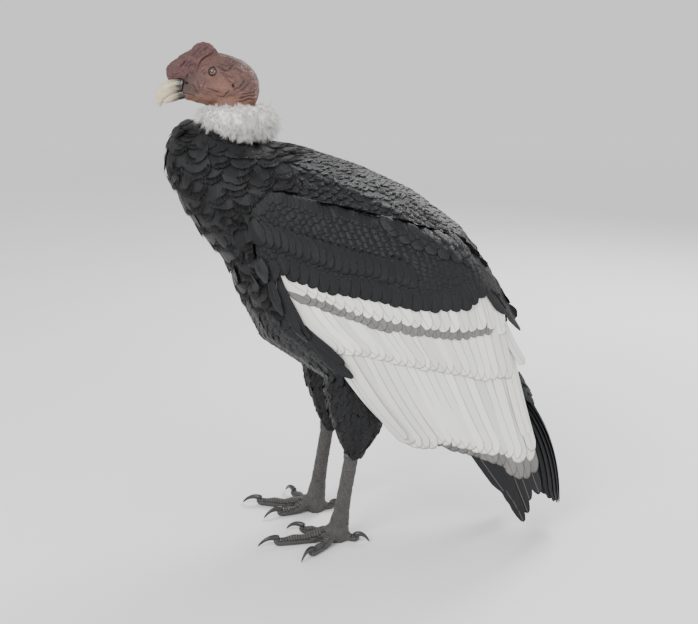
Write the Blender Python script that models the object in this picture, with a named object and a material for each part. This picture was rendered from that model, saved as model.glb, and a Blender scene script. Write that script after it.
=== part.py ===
"""Andean condor, adult male, standing with folded wings: the solids of a life-size model.

The bird faces -X, its left side is -Y and Z is up. Lengths are metres.
The body is lofted whole, and its neighbours are parted by thin gaps.
"""

import math

import bmesh
import bpy
from mathutils import Vector

OBJECT_NAME = "andean_condor"
GAP = 0.0004  # clearance between neighbouring solids

# Head: all its lengths are forward of and above this point, at the base of the throat
HEAD_X = -0.213
HEAD_Z = 0.806
EYE_RADIUS = 0.0085
EYE_FORWARD = 0.0225
EYE_UP = 0.066
EYE_SIDE = 0.0232
COMB_LOBE_HEIGHT = 0.0016
COMB_LOBES = 4

# Collar of down
RUFF_X = -0.201
RUFF_Z = 0.787
RUFF_LENGTH = 0.054
RUFF_WIDTH = 0.060
RUFF_THICKNESS = 0.026
RUFF_HEIGHT = 0.034
RUFF_RISE_AT_THROAT = 0.013
RUFF_STEPS = 20

# Folded wing
WING_STANDS_OUT = 0.009
WING_THICK_AT_WRIST = 0.017
WING_THICK_AT_TIP = 0.006
WING_TO_BELLY = 152
WING_ARC_STEPS = 8
SCALLOP_STEPS = 3
PRISM_FAR = 0.30

# Tail
TAIL_LENGTH = 0.350
TAIL_FEATHERS = 12
TAIL_HALF_WIDTH = 0.066
TAIL_THICKNESS = 0.010
TAIL_ROOF = 0.020
TAIL_STEPS_PER_FEATHER = 2
TAIL_NOTCH = 0.005

# Legs
TARSUS_HALF_DEPTH = 0.0135
TARSUS_HALF_WIDTH = 0.0115
LEFT_LEG_X = -0.020
RIGHT_LEG_X = -0.068
FOOT_SIDE = 0.064
ANKLE_SIDE = 0.082
TOE_ROOT = 0.011  # how far from the middle of the foot each toe begins

BLACK = ("plumage_black", (0.012, 0.012, 0.015), 0.55)
WHITE = ("plumage_white", (0.78, 0.77, 0.74), 0.8)
DOWN = ("down_white", (0.86, 0.85, 0.82), 0.9)
SKIN = ("head_skin", (0.20, 0.085, 0.07), 0.6)
COMB = ("comb_skin", (0.13, 0.045, 0.045), 0.6)
HORN = ("bill_horn", (0.72, 0.64, 0.48), 0.35)
IRIS = ("iris", (0.10, 0.045, 0.02), 0.1)
LEG = ("leg_skin", (0.10, 0.095, 0.09), 0.65)
CLAW = ("claw_horn", (0.03, 0.027, 0.025), 0.4)


def material(look):
    name, colour, roughness = look
    made = bpy.data.materials.get(name)
    if made is None:
        made = bpy.data.materials.new(name)
        made.use_nodes = True
        shader = made.node_tree.nodes["Principled BSDF"]
        shader.inputs["Base Color"].default_value = (*colour, 1.0)
        shader.inputs["Roughness"].default_value = roughness
        shader.inputs["Metallic"].default_value = 0.0
    return made


def solid(name, points, faces, look):
    """A closed mesh object with its faces turned outwards, in triangles as its faces aren't flat."""
    mesh = bpy.data.meshes.new(name)
    mesh.from_pydata([tuple(p) for p in points], [], faces)
    shaped = bmesh.new()
    shaped.from_mesh(mesh)
    bmesh.ops.recalc_face_normals(shaped, faces=shaped.faces)
    bmesh.ops.triangulate(shaped, faces=shaped.faces)
    shaped.to_mesh(mesh)
    shaped.free()
    mesh.shade_smooth()
    mesh.materials.append(material(look))
    made = bpy.data.objects.new(name, mesh)
    parts.objects.link(made)
    return made


def signed_power(value, power):
    return math.copysign(abs(value) ** power, value)


def section(x, z, tilt, width, up, down, roundness=2.0, count=22, side=0.0):
    """One ring across the body: tilt in degrees leans its top backwards."""
    lean = math.radians(tilt)
    ring = []
    for step in range(count):
        angle = 2 * math.pi * step / count
        height = signed_power(math.cos(angle), 2 / roundness) * (up if math.cos(angle) > 0 else down)
        across = signed_power(math.sin(angle), 2 / roundness) * width
        ring.append(Vector((x + height * math.sin(lean), side + across, z + height * math.cos(lean))))
    return ring


def loft(name, rings, look, wraps=False):
    """Joins equal rings one after another; the ends are capped unless the loft wraps round."""
    count = len(rings[0])
    points = [point for ring in rings for point in ring]
    faces = []
    for row in range(len(rings) if wraps else len(rings) - 1):
        here = row * count
        there = ((row + 1) % len(rings)) * count
        for step in range(count):
            after = (step + 1) % count
            faces.append((here + step, here + after, there + after, there + step))
    if not wraps:
        faces.append(tuple(range(count)))
        faces.append(tuple(range(len(points) - count, len(points))))
    return solid(name, points, faces, look)


def prism(name, outline, side_from, side_to):
    """A side-view outline of (x, z) points drawn out across the body."""
    count = len(outline)
    points = [(x, side_from, z) for x, z in outline] + [(x, side_to, z) for x, z in outline]
    faces = [tuple(range(count)), tuple(range(2 * count - 1, count - 1, -1))]
    for step in range(count):
        after = (step + 1) % count
        faces.append((step, after, count + after, count + step))
    return solid(name, points, faces, BLACK)


def combine(target, other, operation):
    """Bakes one Boolean into the target and removes the other object."""
    modifier = target.modifiers.new(operation, "BOOLEAN")
    modifier.object = other
    modifier.operation = operation
    modifier.solver = "EXACT"
    baked = bpy.data.meshes.new_from_object(target.evaluated_get(bpy.context.evaluated_depsgraph_get()))
    target.modifiers.clear()
    target.data = baked
    baked.shade_smooth()
    bpy.data.objects.remove(other)


def copy_of(source, name):
    made = source.copy()
    made.data = source.data.copy()
    made.name = name
    parts.objects.link(made)
    return made


def keep_clear(target, *neighbours):
    """Cuts from the target each neighbour, grown by the gap."""
    for neighbour in neighbours:
        grown = copy_of(neighbour, neighbour.name + "_room")
        shaped = bmesh.new()
        shaped.from_mesh(grown.data)
        shaped.normal_update()
        for vertex in shaped.verts:
            vertex.co += vertex.normal * GAP
        shaped.to_mesh(grown.data)
        shaped.free()
        combine(target, grown, "DIFFERENCE")


def mirrored(source, name):
    """The same solid on the bird's other side."""
    made = copy_of(source, name)
    for vertex in made.data.vertices:
        vertex.co.y = -vertex.co.y
    made.data.flip_normals()
    return made


# --- head -------------------------------------------------------------------


def head_ring(forward, low, high, half_width, tilt=0.0, roundness=2.2, count=14):
    middle = (low + high) / 2
    reach = (high - low) / 2
    return section(
        HEAD_X - forward, HEAD_Z + middle, tilt, half_width, reach, reach, roundness, count
    )


def make_head():
    """Skull with cheeks and nape, up to the slanting edge of the horn."""
    return loft(
        "head",
        [
            head_ring(-0.053, 0.030, 0.054, 0.010),
            head_ring(-0.049, 0.012, 0.064, 0.022),
            head_ring(-0.040, 0.000, 0.075, 0.0295),
            head_ring(-0.023, -0.006, 0.088, 0.0345),
            head_ring(-0.003, -0.006, 0.096, 0.0355),
            head_ring(0.016, -0.001, 0.098, 0.0335),
            head_ring(0.034, 0.005, 0.090, 0.0285),
            head_ring(0.050, 0.010, 0.079, 0.0230),
            head_ring(0.064, 0.0145, 0.068, 0.0185, 4),
            head_ring(0.076, 0.0180, 0.0595, 0.0155, 10),
            head_ring(0.0795, 0.0195, 0.0565, 0.0140, 14),
        ],
        SKIN,
    )


def make_upper_bill():
    """Horn of the upper jaw, hooked over the tip of the lower one."""
    return loft(
        "bill_upper",
        [
            head_ring(0.0790, 0.0330, 0.0560, 0.0136, 14, 2.3, 12),
            head_ring(0.0900, 0.0300, 0.0560, 0.0130, 8, 2.3, 12),
            head_ring(0.1010, 0.0265, 0.0540, 0.0120, -2, 2.2, 12),
            head_ring(0.1120, 0.0215, 0.0475, 0.0102, -22, 2.1, 12),
            head_ring(0.1195, 0.0165, 0.0385, 0.0082, -45, 2.0, 12),
            head_ring(0.1235, 0.0110, 0.0270, 0.0058, -66, 2.0, 12),
            head_ring(0.1240, 0.0060, 0.0170, 0.0034, -80, 2.0, 12),
            head_ring(0.1232, 0.0045, 0.0080, 0.0012, -86, 2.0, 12),
        ],
        HORN,
    )


def make_lower_bill():
    return loft(
        "bill_lower",
        [
            head_ring(0.0770, 0.0195, 0.0325, 0.0126, 12, 2.3, 10),
            head_ring(0.0900, 0.0165, 0.0292, 0.0116, 6, 2.3, 10),
            head_ring(0.1020, 0.0130, 0.0245, 0.0098, 0, 2.3, 10),
            head_ring(0.1110, 0.0115, 0.0200, 0.0076, -8, 2.1, 10),
            head_ring(0.1160, 0.0120, 0.0165, 0.0046, -12, 2.0, 10),
        ],
        HORN,
    )


def make_comb():
    """Fleshy crest of the male: a thick, lobed plate from the bill to the crown."""
    stations = [
        # forward, low, high, half width
        (0.1085, 0.0600, 0.0700, 0.0030),
        (0.1050, 0.0480, 0.0765, 0.0075),
        (0.0940, 0.0450, 0.0870, 0.0105),
        (0.0790, 0.0480, 0.0965, 0.0122),
        (0.0640, 0.0560, 0.1060, 0.0125),
        (0.0510, 0.0640, 0.1140, 0.0115),
        (0.0405, 0.0720, 0.1180, 0.0098),
        (0.0310, 0.0790, 0.1150, 0.0072),
        (0.0235, 0.0860, 0.1070, 0.0042),
        (0.0190, 0.0900, 0.1000, 0.0015),
    ]
    rings = []
    for forward, low, high, half_width in stations:
        lobe = COMB_LOBE_HEIGHT * math.cos(2 * math.pi * COMB_LOBES * forward / 0.105)
        rings.append(head_ring(forward, low, high + lobe, half_width, 0, 2.6, 12))
    return loft("comb", rings, COMB)


def make_eye(name, side):
    bpy.ops.mesh.primitive_uv_sphere_add(
        segments=12,
        ring_count=7,
        radius=EYE_RADIUS,
        location=(HEAD_X - EYE_FORWARD, side * EYE_SIDE, HEAD_Z + EYE_UP),
    )
    made = bpy.context.object
    bpy.ops.object.transform_apply()
    for collection in made.users_collection:
        collection.objects.unlink(made)
    parts.objects.link(made)
    made.name = name
    made.data.materials.append(material(IRIS))
    made.data.shade_smooth()
    return made


# --- body -------------------------------------------------------------------


def make_neck():
    stations = [
        # x, height, tilt, half width, back, front
        (-0.200, 0.775, 86, 0.046, 0.046, 0.048),
        (-0.203, 0.802, 88, 0.042, 0.042, 0.044),
        (-0.207, 0.832, 90, 0.031, 0.035, 0.036),
    ]
    return loft("neck", [section(*station, count=12) for station in stations], SKIN)


def make_ruff():
    """Collar of down, full at the sides and nape and thin at the throat."""
    rings = []
    for step in range(RUFF_STEPS):
        turn = 2 * math.pi * step / RUFF_STEPS
        outward = Vector((math.cos(turn), math.sin(turn), 0))
        throat = max(-outward.x, 0) ** 2
        middle = Vector(
            (
                RUFF_X + RUFF_LENGTH * outward.x,
                RUFF_WIDTH * outward.y,
                RUFF_Z + RUFF_RISE_AT_THROAT * throat,
            )
        )
        high = RUFF_HEIGHT * (1 - 0.52 * throat)
        deep = RUFF_THICKNESS * (1 - 0.25 * throat)
        ring = []
        for corner in range(8):
            angle = 2 * math.pi * corner / 8
            ring.append(
                middle + outward * deep * math.cos(angle) + Vector((0, 0, high * math.sin(angle)))
            )
        rings.append(ring)
    return loft("ruff", rings, DOWN, wraps=True)


# Body stations from the crop past the rump: x, z, tilt, half width, up to the back,
# and the angle off the spine, in degrees, at which the folded wing begins
BODY = [
    (-0.205, 0.672, 33, 0.138, 0.100, 80),
    (-0.155, 0.628, 38, 0.158, 0.137, 62),
    (-0.100, 0.575, 42, 0.168, 0.178, 53),
    (-0.040, 0.515, 46, 0.172, 0.214, 41),
    (0.025, 0.445, 49, 0.168, 0.234, 21),
    (0.085, 0.375, 51, 0.156, 0.226, 12),
    (0.145, 0.305, 53, 0.138, 0.204, 10),
    (0.205, 0.235, 56, 0.114, 0.170, 11),
    (0.255, 0.160, 60, 0.094, 0.133, 12),
    (0.300, 0.090, 62, 0.080, 0.100, 12),
    (0.340, 0.010, 63, 0.071, 0.085, 12),
    (0.375, -0.060, 64, 0.066, 0.080, 12),
]
# From the same places down to the breast and belly
BELLY = [0.106, 0.112, 0.146, 0.172, 0.151, 0.126]


def make_trunk():
    crop = [
        section(-0.3275, 0.722, 4, 0.014, 0.014, 0.014, count=20),
        section(-0.3220, 0.724, 5, 0.046, 0.036, 0.036, count=20),
        section(-0.3020, 0.723, 8, 0.082, 0.068, 0.060, count=20),
        section(-0.2650, 0.712, 20, 0.112, 0.086, 0.088, count=20),
    ]
    middle = [
        section(x, z, tilt, width, up, down, 2.15, 20)
        for (x, z, tilt, width, up, _), down in zip(BODY, BELLY)
    ]
    rump = [
        section(0.140, 0.335, 53, 0.122, 0.158, 0.095, count=20),
        section(0.195, 0.305, 56, 0.096, 0.112, 0.075, count=20),
        section(0.245, 0.270, 60, 0.068, 0.070, 0.052, count=20),
        section(0.285, 0.225, 64, 0.042, 0.038, 0.030, count=20),
        section(0.305, 0.190, 66, 0.018, 0.016, 0.014, count=20),
    ]
    return loft("trunk", crop + middle + rump, BLACK)


def make_tail():
    """A closed fan, built across its width so that each feather ends in its own curve."""
    root = Vector((0.262, 0.0, 0.372))
    bend = Vector((0.408, 0.0, 0.245))
    tip = Vector((0.4135, 0.0, 0.047))
    forward = Vector((-0.96, 0, -0.28))
    stretch = 5
    rings = []
    steps = TAIL_FEATHERS * TAIL_STEPS_PER_FEATHER
    for step in range(steps + 1):
        across = 2 * step / steps - 1
        between_feathers = step % TAIL_STEPS_PER_FEATHER == 0
        short = 0.014 * across * across + (TAIL_NOTCH if between_feathers else 0)
        top = []
        under = []
        for part in range(stretch):
            along = (1 - short / TAIL_LENGTH) * part / (stretch - 1)
            place = root.lerp(bend, along).lerp(bend.lerp(tip, along), along)
            place.y = across * TAIL_HALF_WIDTH * (0.5 + 0.5 * along)
            roof = TAIL_ROOF * across * across
            half = TAIL_THICKNESS * (0.5 - 0.3 * along) * (1 - 0.7 * across**6) / 2
            top.append(place + forward * (roof - half))
            under.append(place + forward * (roof + half))
        rings.append(top + under[::-1])
    return loft("tail", rings, BLACK)


# --- wings ------------------------------------------------------------------


def scalloped(line, count, bulge):
    """A line of (x, z) points redrawn as rounded feather ends that bulge to its lower side."""
    corners = [Vector(point) for point in line]
    lengths = [(b - a).length for a, b in zip(corners, corners[1:])]
    total = sum(lengths)

    def place(distance):
        for start, end, length in zip(corners, corners[1:], lengths):
            if distance <= length:
                return start.lerp(end, distance / length)
            distance -= length
        return corners[-1]

    points = []
    for feather in range(count):
        start = place(total * feather / count)
        end = place(total * (feather + 1) / count)
        chord = (end - start).normalized()
        lower = Vector((chord.y, -chord.x))
        for step in range(SCALLOP_STEPS):
            part = step / SCALLOP_STEPS
            swell = bulge * math.sin(math.pi * part) ** 0.8
            points.append(start.lerp(end, part) + lower * swell)
    points.append(corners[-1])
    return [tuple(point) for point in points]


def feather_tips(tips):
    """Outline of long feathers that end one below another at the given tips."""
    down = Vector((0.40, -0.92)).normalized()
    forward = Vector((down.y, -down.x))
    points = []
    for tip in tips:
        for up_feather, ahead in ((0.012, 0.0045), (0.003, 0.002), (0.002, -0.002), (0.018, -0.0035)):
            points.append(tuple(Vector(tip) - down * up_feather + forward * ahead))
    return points


def shifted(line, distance):
    """The line moved sideways by an even distance."""
    points = [Vector(point) for point in line]
    moved = []
    for index, point in enumerate(points):
        before = points[max(index - 1, 0)]
        after = points[min(index + 1, len(points) - 1)]
        first = (point - before).normalized() if index else (after - point).normalized()
        second = (after - point).normalized() if index < len(points) - 1 else first
        bisector = (Vector((first.y, -first.x)) + Vector((second.y, -second.x))).normalized()
        square = max(bisector.dot(Vector((first.y, -first.x))), 0.5)
        moved.append(tuple(point + bisector * distance / square))
    return moved


WING_FRONT = [
    (-0.122, 0.692),
    (-0.147, 0.676),
    (-0.164, 0.653),
    (-0.169, 0.630),
    (-0.161, 0.580),
    (-0.149, 0.549),
    (-0.139, 0.528),
    (-0.131, 0.500),
    (-0.114, 0.476),
    (-0.094, 0.446),
    (-0.066, 0.424),
    (-0.040, 0.392),
    (-0.010, 0.362),
    (0.012, 0.350),
    (0.045, 0.290),
    (0.078, 0.258),
]
SECONDARY_TIPS = [(0.078, 0.250), (0.104, 0.218), (0.150, 0.207), (0.200, 0.204), (0.262, 0.186)]
PRIMARY_TIPS = [(0.274, 0.122), (0.297, 0.088), (0.319, 0.058), (0.341, 0.024)]
WING_REAR = [(0.350, 0.088), (0.361, 0.076), (0.368, 0.090), (0.366, 0.150), (0.352, 0.200)]
WING_REAR_HIGH = [(0.352, 0.260), (0.348, 0.330), (0.346, 0.400)]
WING_TOP = [(0.340, 0.480), (0.290, 0.600), (0.050, 0.740), (-0.060, 0.740), (-0.100, 0.700)]
# Edges of the feather rows, each a little longer than the wing is wide
LESSER_EDGE = [(-0.170, 0.545), (-0.106, 0.541), (-0.044, 0.515), (0.020, 0.505), (0.085, 0.487)]
LESSER_EDGE_REAR = [(0.141, 0.475), (0.205, 0.471), (0.232, 0.485), (0.250, 0.494)]
TERTIAL_EDGE = [(0.277, 0.458), (0.298, 0.428), (0.370, 0.420)]
GREATER_EDGE = [(-0.060, 0.402), (-0.010, 0.407), (0.024, 0.402), (0.071, 0.389), (0.141, 0.371)]
GREATER_EDGE_REAR = [(0.219, 0.345), (0.289, 0.336), (0.390, 0.330)]
SECONDARY_EDGE = [(0.230, 0.165), (0.2635, 0.177), (0.300, 0.178), (0.343, 0.165), (0.390, 0.160)]


def make_wing_shell():
    """The left wing as one curved shell, from the wrist to past the tips."""
    ahead_of_wrist = (-0.238, 0.700, 28, 0.085, 0.060, 88)
    stations = [ahead_of_wrist] + BODY
    rings = []
    for index, (x, z, tilt, width, up, from_spine) in enumerate(stations):
        slimming = (WING_THICK_AT_WRIST - WING_THICK_AT_TIP) * index / (len(stations) - 1)
        thick = WING_THICK_AT_WRIST - slimming
        lean = math.radians(tilt)
        outer = []
        inner = []
        for step in range(WING_ARC_STEPS + 1):
            share = step / WING_ARC_STEPS
            angle = math.radians(from_spine + (WING_TO_BELLY - from_spine) * share)
            for row, grow in ((outer, WING_STANDS_OUT), (inner, WING_STANDS_OUT - thick)):
                reach = (up + grow) if math.cos(angle) > 0 else 0.30
                height = signed_power(math.cos(angle), 2 / 2.15) * reach
                across = -math.sin(angle) ** (2 / 2.6) * (width + grow)
                row.append(Vector((x + height * math.sin(lean), across, z + height * math.cos(lean))))
        rings.append(outer + inner[::-1])
    return loft("wing_left", rings, BLACK)


def part_by(whole, line, name):
    """Cuts a thin gap along the line through the whole solid."""
    sides = shifted(line, GAP / 2) + shifted(line, -GAP / 2)[::-1]
    combine(whole, prism(name, sides, -PRISM_FAR, -0.001), "DIFFERENCE")


def loose_pieces(whole):
    """The separate bodies of a mesh, each as a list of its faces."""
    shaped = bmesh.new()
    shaped.from_mesh(whole.data)
    unseen = set(shaped.faces)
    pieces = []
    while unseen:
        todo = [unseen.pop()]
        piece = []
        while todo:
            face = todo.pop()
            piece.append(face)
            for edge in face.edges:
                for other in edge.link_faces:
                    if other in unseen:
                        unseen.remove(other)
                        todo.append(other)
        points = sorted({vertex.index for face in piece for vertex in face.verts})
        order = {index: place for place, index in enumerate(points)}
        shaped.verts.ensure_lookup_table()
        pieces.append(
            (
                [shaped.verts[index].co.copy() for index in points],
                [tuple(order[vertex.index] for vertex in face.verts) for face in piece],
            )
        )
    shaped.free()
    return pieces


def make_left_wing():
    """The whole wing, and its feather rows from the shoulder to the tip."""
    whole = make_wing_shell()
    outline = (
        WING_FRONT
        + scalloped(SECONDARY_TIPS, 7, 0.007)[1:]
        + feather_tips(PRIMARY_TIPS)
        + WING_REAR
        + WING_REAR_HIGH
        + WING_TOP
    )
    combine(whole, prism("wing_outline", outline, -PRISM_FAR, -0.0005), "INTERSECT")
    rows = copy_of(whole, "wing_rows")
    part_by(
        rows,
        LESSER_EDGE[:1]
        + scalloped(LESSER_EDGE[1:] + LESSER_EDGE_REAR[:2], 9, 0.007)
        + LESSER_EDGE_REAR[2:]
        + TERTIAL_EDGE,
        "lesser_gap",
    )
    part_by(
        rows,
        [(-0.120, 0.385)] + scalloped(GREATER_EDGE + GREATER_EDGE_REAR, 12, 0.008),
        "greater_gap",
    )
    part_by(rows, SECONDARY_EDGE[:1] + scalloped(SECONDARY_EDGE[1:], 4, 0.006), "secondary_gap")
    names = ["coverts_lesser", "coverts_greater", "secondaries", "primaries"]
    looks = [BLACK, WHITE, WHITE, BLACK]
    pieces = loose_pieces(rows)
    bpy.data.objects.remove(rows)
    pieces.sort(key=lambda piece: -sum(point.z for point in piece[0]) / len(piece[0]))
    if len(pieces) != len(names):
        raise ValueError(f"the wing parted into {len(pieces)} pieces, not {len(names)}")
    made = [
        solid(name + "_left", points, faces, look)
        for name, look, (points, faces) in zip(names, looks, pieces)
    ]
    return whole, made


# --- legs -------------------------------------------------------------------


def level_ring(x, y, z, half_length, half_width, count=10):
    """A horizontal ring that never dips under the floor."""
    ring = []
    for step in range(count):
        angle = 2 * math.pi * step / count
        ring.append(
            Vector((x + half_length * math.cos(angle), y + half_width * math.sin(angle), max(z, 0)))
        )
    return ring


def make_thigh(name, side, leg_x):
    """Feathered upper leg, from inside the belly to the ankle."""
    out = side * ANKLE_SIDE
    return loft(
        name,
        [
            level_ring(leg_x + 0.026, out * 0.90, 0.395, 0.034, 0.022),
            level_ring(leg_x + 0.030, out * 0.98, 0.360, 0.052, 0.038),
            level_ring(leg_x + 0.032, out * 1.06, 0.315, 0.058, 0.045),
            level_ring(leg_x + 0.034, out * 1.04, 0.270, 0.053, 0.043),
            level_ring(leg_x + 0.036, out, 0.232, 0.041, 0.035),
            level_ring(leg_x + 0.033, out * 0.97, 0.204, 0.028, 0.026),
            level_ring(leg_x + 0.030, out * 0.95, 0.187, 0.016, 0.017),
        ],
        BLACK,
    )


def make_tarsus(name, side, leg_x):
    """Bare leg from the ankle to the ball of the foot, which stands flat on the floor."""
    ankle = side * ANKLE_SIDE * 0.96
    foot = side * FOOT_SIDE
    return loft(
        name,
        [
            level_ring(leg_x + 0.0290, ankle, 0.215, 0.0140, 0.0130),
            level_ring(leg_x + 0.0260, ankle, 0.190, 0.0165, 0.0145),
            level_ring(leg_x + 0.0230, ankle * 0.98, 0.168, TARSUS_HALF_DEPTH, 0.0120),
            level_ring(leg_x + 0.0140, ankle * 0.93, 0.115, TARSUS_HALF_DEPTH, TARSUS_HALF_WIDTH),
            level_ring(leg_x + 0.0060, ankle * 0.88, 0.065, 0.0150, 0.0130),
            level_ring(leg_x + 0.0010, foot, 0.036, 0.0190, 0.0190),
            level_ring(leg_x - 0.0010, foot, 0.016, 0.0205, 0.0210),
            level_ring(leg_x - 0.0010, foot, 0.0, 0.0170, 0.0175),
        ],
        LEG,
    )


def along_toe(start, heading, length, stations, count):
    """Rings square to a heading: each station is (part of the length, height, radius)."""
    forward = Vector((-math.cos(heading), math.sin(heading), 0))
    sideways = Vector((forward.y, -forward.x, 0))
    rings = []
    for part, height, radius in stations:
        middle = start + forward * length * part
        ring = []
        for step in range(count):
            angle = 2 * math.pi * step / count
            point = middle + sideways * radius * math.cos(angle)
            point.z = max(height + radius * math.sin(angle), 0.0)
            ring.append(point)
        rings.append(ring)
    return rings


# Toe: heading out from straight ahead in degrees, length, radius, claw length
TOES = {
    "middle": (12, 0.113, 0.0112, 0.032),
    "inner": (-22, 0.070, 0.0104, 0.030),
    "outer": (54, 0.077, 0.0100, 0.027),
    "hind": (168, 0.029, 0.0085, 0.020),
}


def make_toe(toe, side_name, side, leg_x):
    """One toe and its claw, with flat soles."""
    degrees, length, radius, claw_length = TOES[toe]
    heading = math.radians(degrees) * side
    forward = Vector((-math.cos(heading), math.sin(heading), 0))
    start = Vector((leg_x, side * FOOT_SIDE, 0)) + forward * TOE_ROOT
    lift = 0.012 if toe == "hind" else 0.016
    stations = []
    rings = 7
    for ring in range(rings):
        part = ring / (rings - 1)
        pads = 1 + 0.09 * math.cos(2 * math.pi * 3 * part)
        slim = radius * (1.1 - 0.35 * part) * pads
        drop = max(1 - part / 0.5, 0) ** 2
        stations.append((part, slim * 0.84 + lift * drop, slim))
    end = stations[-1]
    stations.append((1 + 0.004 / length, end[1], end[2] * 0.75))
    made = loft(f"toe_{toe}_{side_name}", along_toe(start, heading, length, stations, 8), LEG)

    base = start + forward * (length - 0.006)
    thick = radius * 0.62
    claw_stations = []
    for ring in range(5):
        part = ring / 4
        width = thick * (1 - part) ** 0.75 + 0.0007
        height = 0.0125 + 0.006 * math.sin(math.pi * min(part * 1.25, 1)) - 0.0118 * part**1.8
        claw_stations.append((part, height, width))
    claw = loft(
        f"claw_{toe}_{side_name}",
        along_toe(base, heading, claw_length + 0.006, claw_stations, 7),
        CLAW,
    )
    return made, claw


def make_leg(side_name, side, leg_x, trunk, wing):
    """One leg; each piece is cut while the neighbour that cuts it is still whole."""
    thigh = make_thigh(f"thigh_{side_name}", side, leg_x)
    tarsus = make_tarsus(f"tarsus_{side_name}", side, leg_x)
    toes = []
    for name in TOES:
        toe, claw = make_toe(name, side_name, side, leg_x)
        keep_clear(claw, toe)
        toes.append(toe)
    while toes:
        toe = toes.pop()
        keep_clear(toe, tarsus, *toes)
    keep_clear(tarsus, thigh)
    keep_clear(thigh, trunk, wing)


# --- assembly ---------------------------------------------------------------


def centre_on_origin():
    """Moves all solids so that the bounds are centred over the origin."""
    points = [vertex.co for part in parts.objects for vertex in part.data.vertices]
    middle = (min(p.x for p in points) + max(p.x for p in points)) / 2
    for part in parts.objects:
        for vertex in part.data.vertices:
            vertex.co.x -= middle
    print("the head's reference point lies at x =", round(HEAD_X - middle, 5))


def main():
    head = make_head()
    upper = make_upper_bill()
    lower = make_lower_bill()
    comb = make_comb()
    eyes = [make_eye("eye_left", -1), make_eye("eye_right", 1)]
    neck = make_neck()
    ruff = make_ruff()
    trunk = make_trunk()
    tail = make_tail()
    left_wing, left_rows = make_left_wing()
    right_wing = mirrored(left_wing, "wing_right")
    for row in left_rows:
        mirrored(row, row.name.replace("left", "right"))

    keep_clear(ruff, neck, head, trunk, left_wing, right_wing)
    keep_clear(neck, head, trunk)
    keep_clear(comb, head, upper)
    keep_clear(head, upper, lower, *eyes)
    keep_clear(lower, upper)
    keep_clear(tail, trunk, left_wing, right_wing)
    make_leg("left", -1, LEFT_LEG_X, trunk, left_wing)
    make_leg("right", 1, RIGHT_LEG_X, trunk, right_wing)
    keep_clear(trunk, left_wing, right_wing)
    bpy.data.objects.remove(left_wing)
    bpy.data.objects.remove(right_wing)
    centre_on_origin()


for leftover in list(bpy.data.objects):
    bpy.data.objects.remove(leftover)
parts = bpy.data.collections.new(OBJECT_NAME)
bpy.context.scene.collection.children.link(parts)
main()
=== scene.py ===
"""Andean condor, adult male: skin, eyes, horn and plumage built over the solids of the frame.

The bird faces -X, its left side is -Y and Z is up; lengths are metres.
"Aft" is measured back from the wrist of the folded wing, "forward" and "up" from the eye.
"""

import math

import bpy
import numpy as np
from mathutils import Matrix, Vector
from mathutils.bvhtree import BVHTree
from mathutils.kdtree import KDTree


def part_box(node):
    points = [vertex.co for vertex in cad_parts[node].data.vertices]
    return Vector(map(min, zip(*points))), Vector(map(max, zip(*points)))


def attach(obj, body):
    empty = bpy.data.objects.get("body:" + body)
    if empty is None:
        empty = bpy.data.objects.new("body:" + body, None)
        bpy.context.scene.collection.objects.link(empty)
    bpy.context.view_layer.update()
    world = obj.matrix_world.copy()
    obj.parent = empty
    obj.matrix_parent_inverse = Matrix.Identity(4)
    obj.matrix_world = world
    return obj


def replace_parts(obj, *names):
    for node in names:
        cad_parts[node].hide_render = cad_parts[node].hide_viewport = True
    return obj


bl_info = {
    "name": "Andean Condor",
    "version": (1, 0, 0),
    "blender": (4, 5, 0),
    "location": "View3D > Sidebar > Condor",
    "description": "Builds the skin, eyes, horn and plumage of a standing Andean condor",
    "category": "Object",
}

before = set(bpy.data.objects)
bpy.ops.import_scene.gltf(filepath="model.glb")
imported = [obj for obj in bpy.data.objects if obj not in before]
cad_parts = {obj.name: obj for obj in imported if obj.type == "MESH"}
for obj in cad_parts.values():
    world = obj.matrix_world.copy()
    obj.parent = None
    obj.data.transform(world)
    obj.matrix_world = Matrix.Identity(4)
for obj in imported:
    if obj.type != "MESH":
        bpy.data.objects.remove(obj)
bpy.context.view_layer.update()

EYE_LOW, EYE_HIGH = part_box("eye_left")
EYE = (EYE_LOW + EYE_HIGH) / 2
EYE_RADIUS = (EYE_HIGH.z - EYE_LOW.z) / 2
WRIST_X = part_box("coverts_lesser_left")[0].x
TAIL_LOW, TAIL_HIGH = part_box("tail")
NECK = np.array((EYE.x + 0.036, 0.0, EYE.z - 0.070))
SIDES = {"left": -1, "right": 1}
TOES = ("middle", "inner", "outer", "hind")
WING_ROWS = ("coverts_lesser", "coverts_greater", "secondaries", "primaries")
MERGE_REACH = 0.00001  # corners of a solid's loose triangles that are closer than this are one point
OUTSIDE = 0.6  # further to the side than any part
LEAST_FACING = 0.3  # how far a face must turn to the side to count as seen from there
DROPS = (0.0, 0.005, 0.010)  # tried in turn where the side view meets nothing


# --- numbers and meshes -------------------------------------------------------


def mix(a, b, share):
    return a + (b - a) * share


def curve(start, bend, end, share):
    """Places on an even bend from start to end."""
    return mix(mix(start, bend, share), mix(bend, end, share), share)


def smooth_step(low, high, value):
    share = np.clip((value - low) / (high - low), 0, 1)
    return share * share * (3 - 2 * share)


def unit(vectors):
    return vectors / np.maximum(np.linalg.norm(vectors, axis=-1, keepdims=True), 1e-12)


def ripple(points, size, seed, waves=9):
    """Smooth, aimless swell over points, from -1 to 1, with lumps of about the given size."""
    chance = np.random.default_rng(seed)
    total = np.zeros(len(points))
    for _ in range(waves):
        heading = chance.normal(size=3)
        heading /= np.linalg.norm(heading)
        stretch = chance.uniform(0.7, 1.6)
        total += np.sin(points @ heading * (math.pi * stretch / size) + chance.uniform(0, 6.28))
    return total / math.sqrt(waves)


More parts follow.
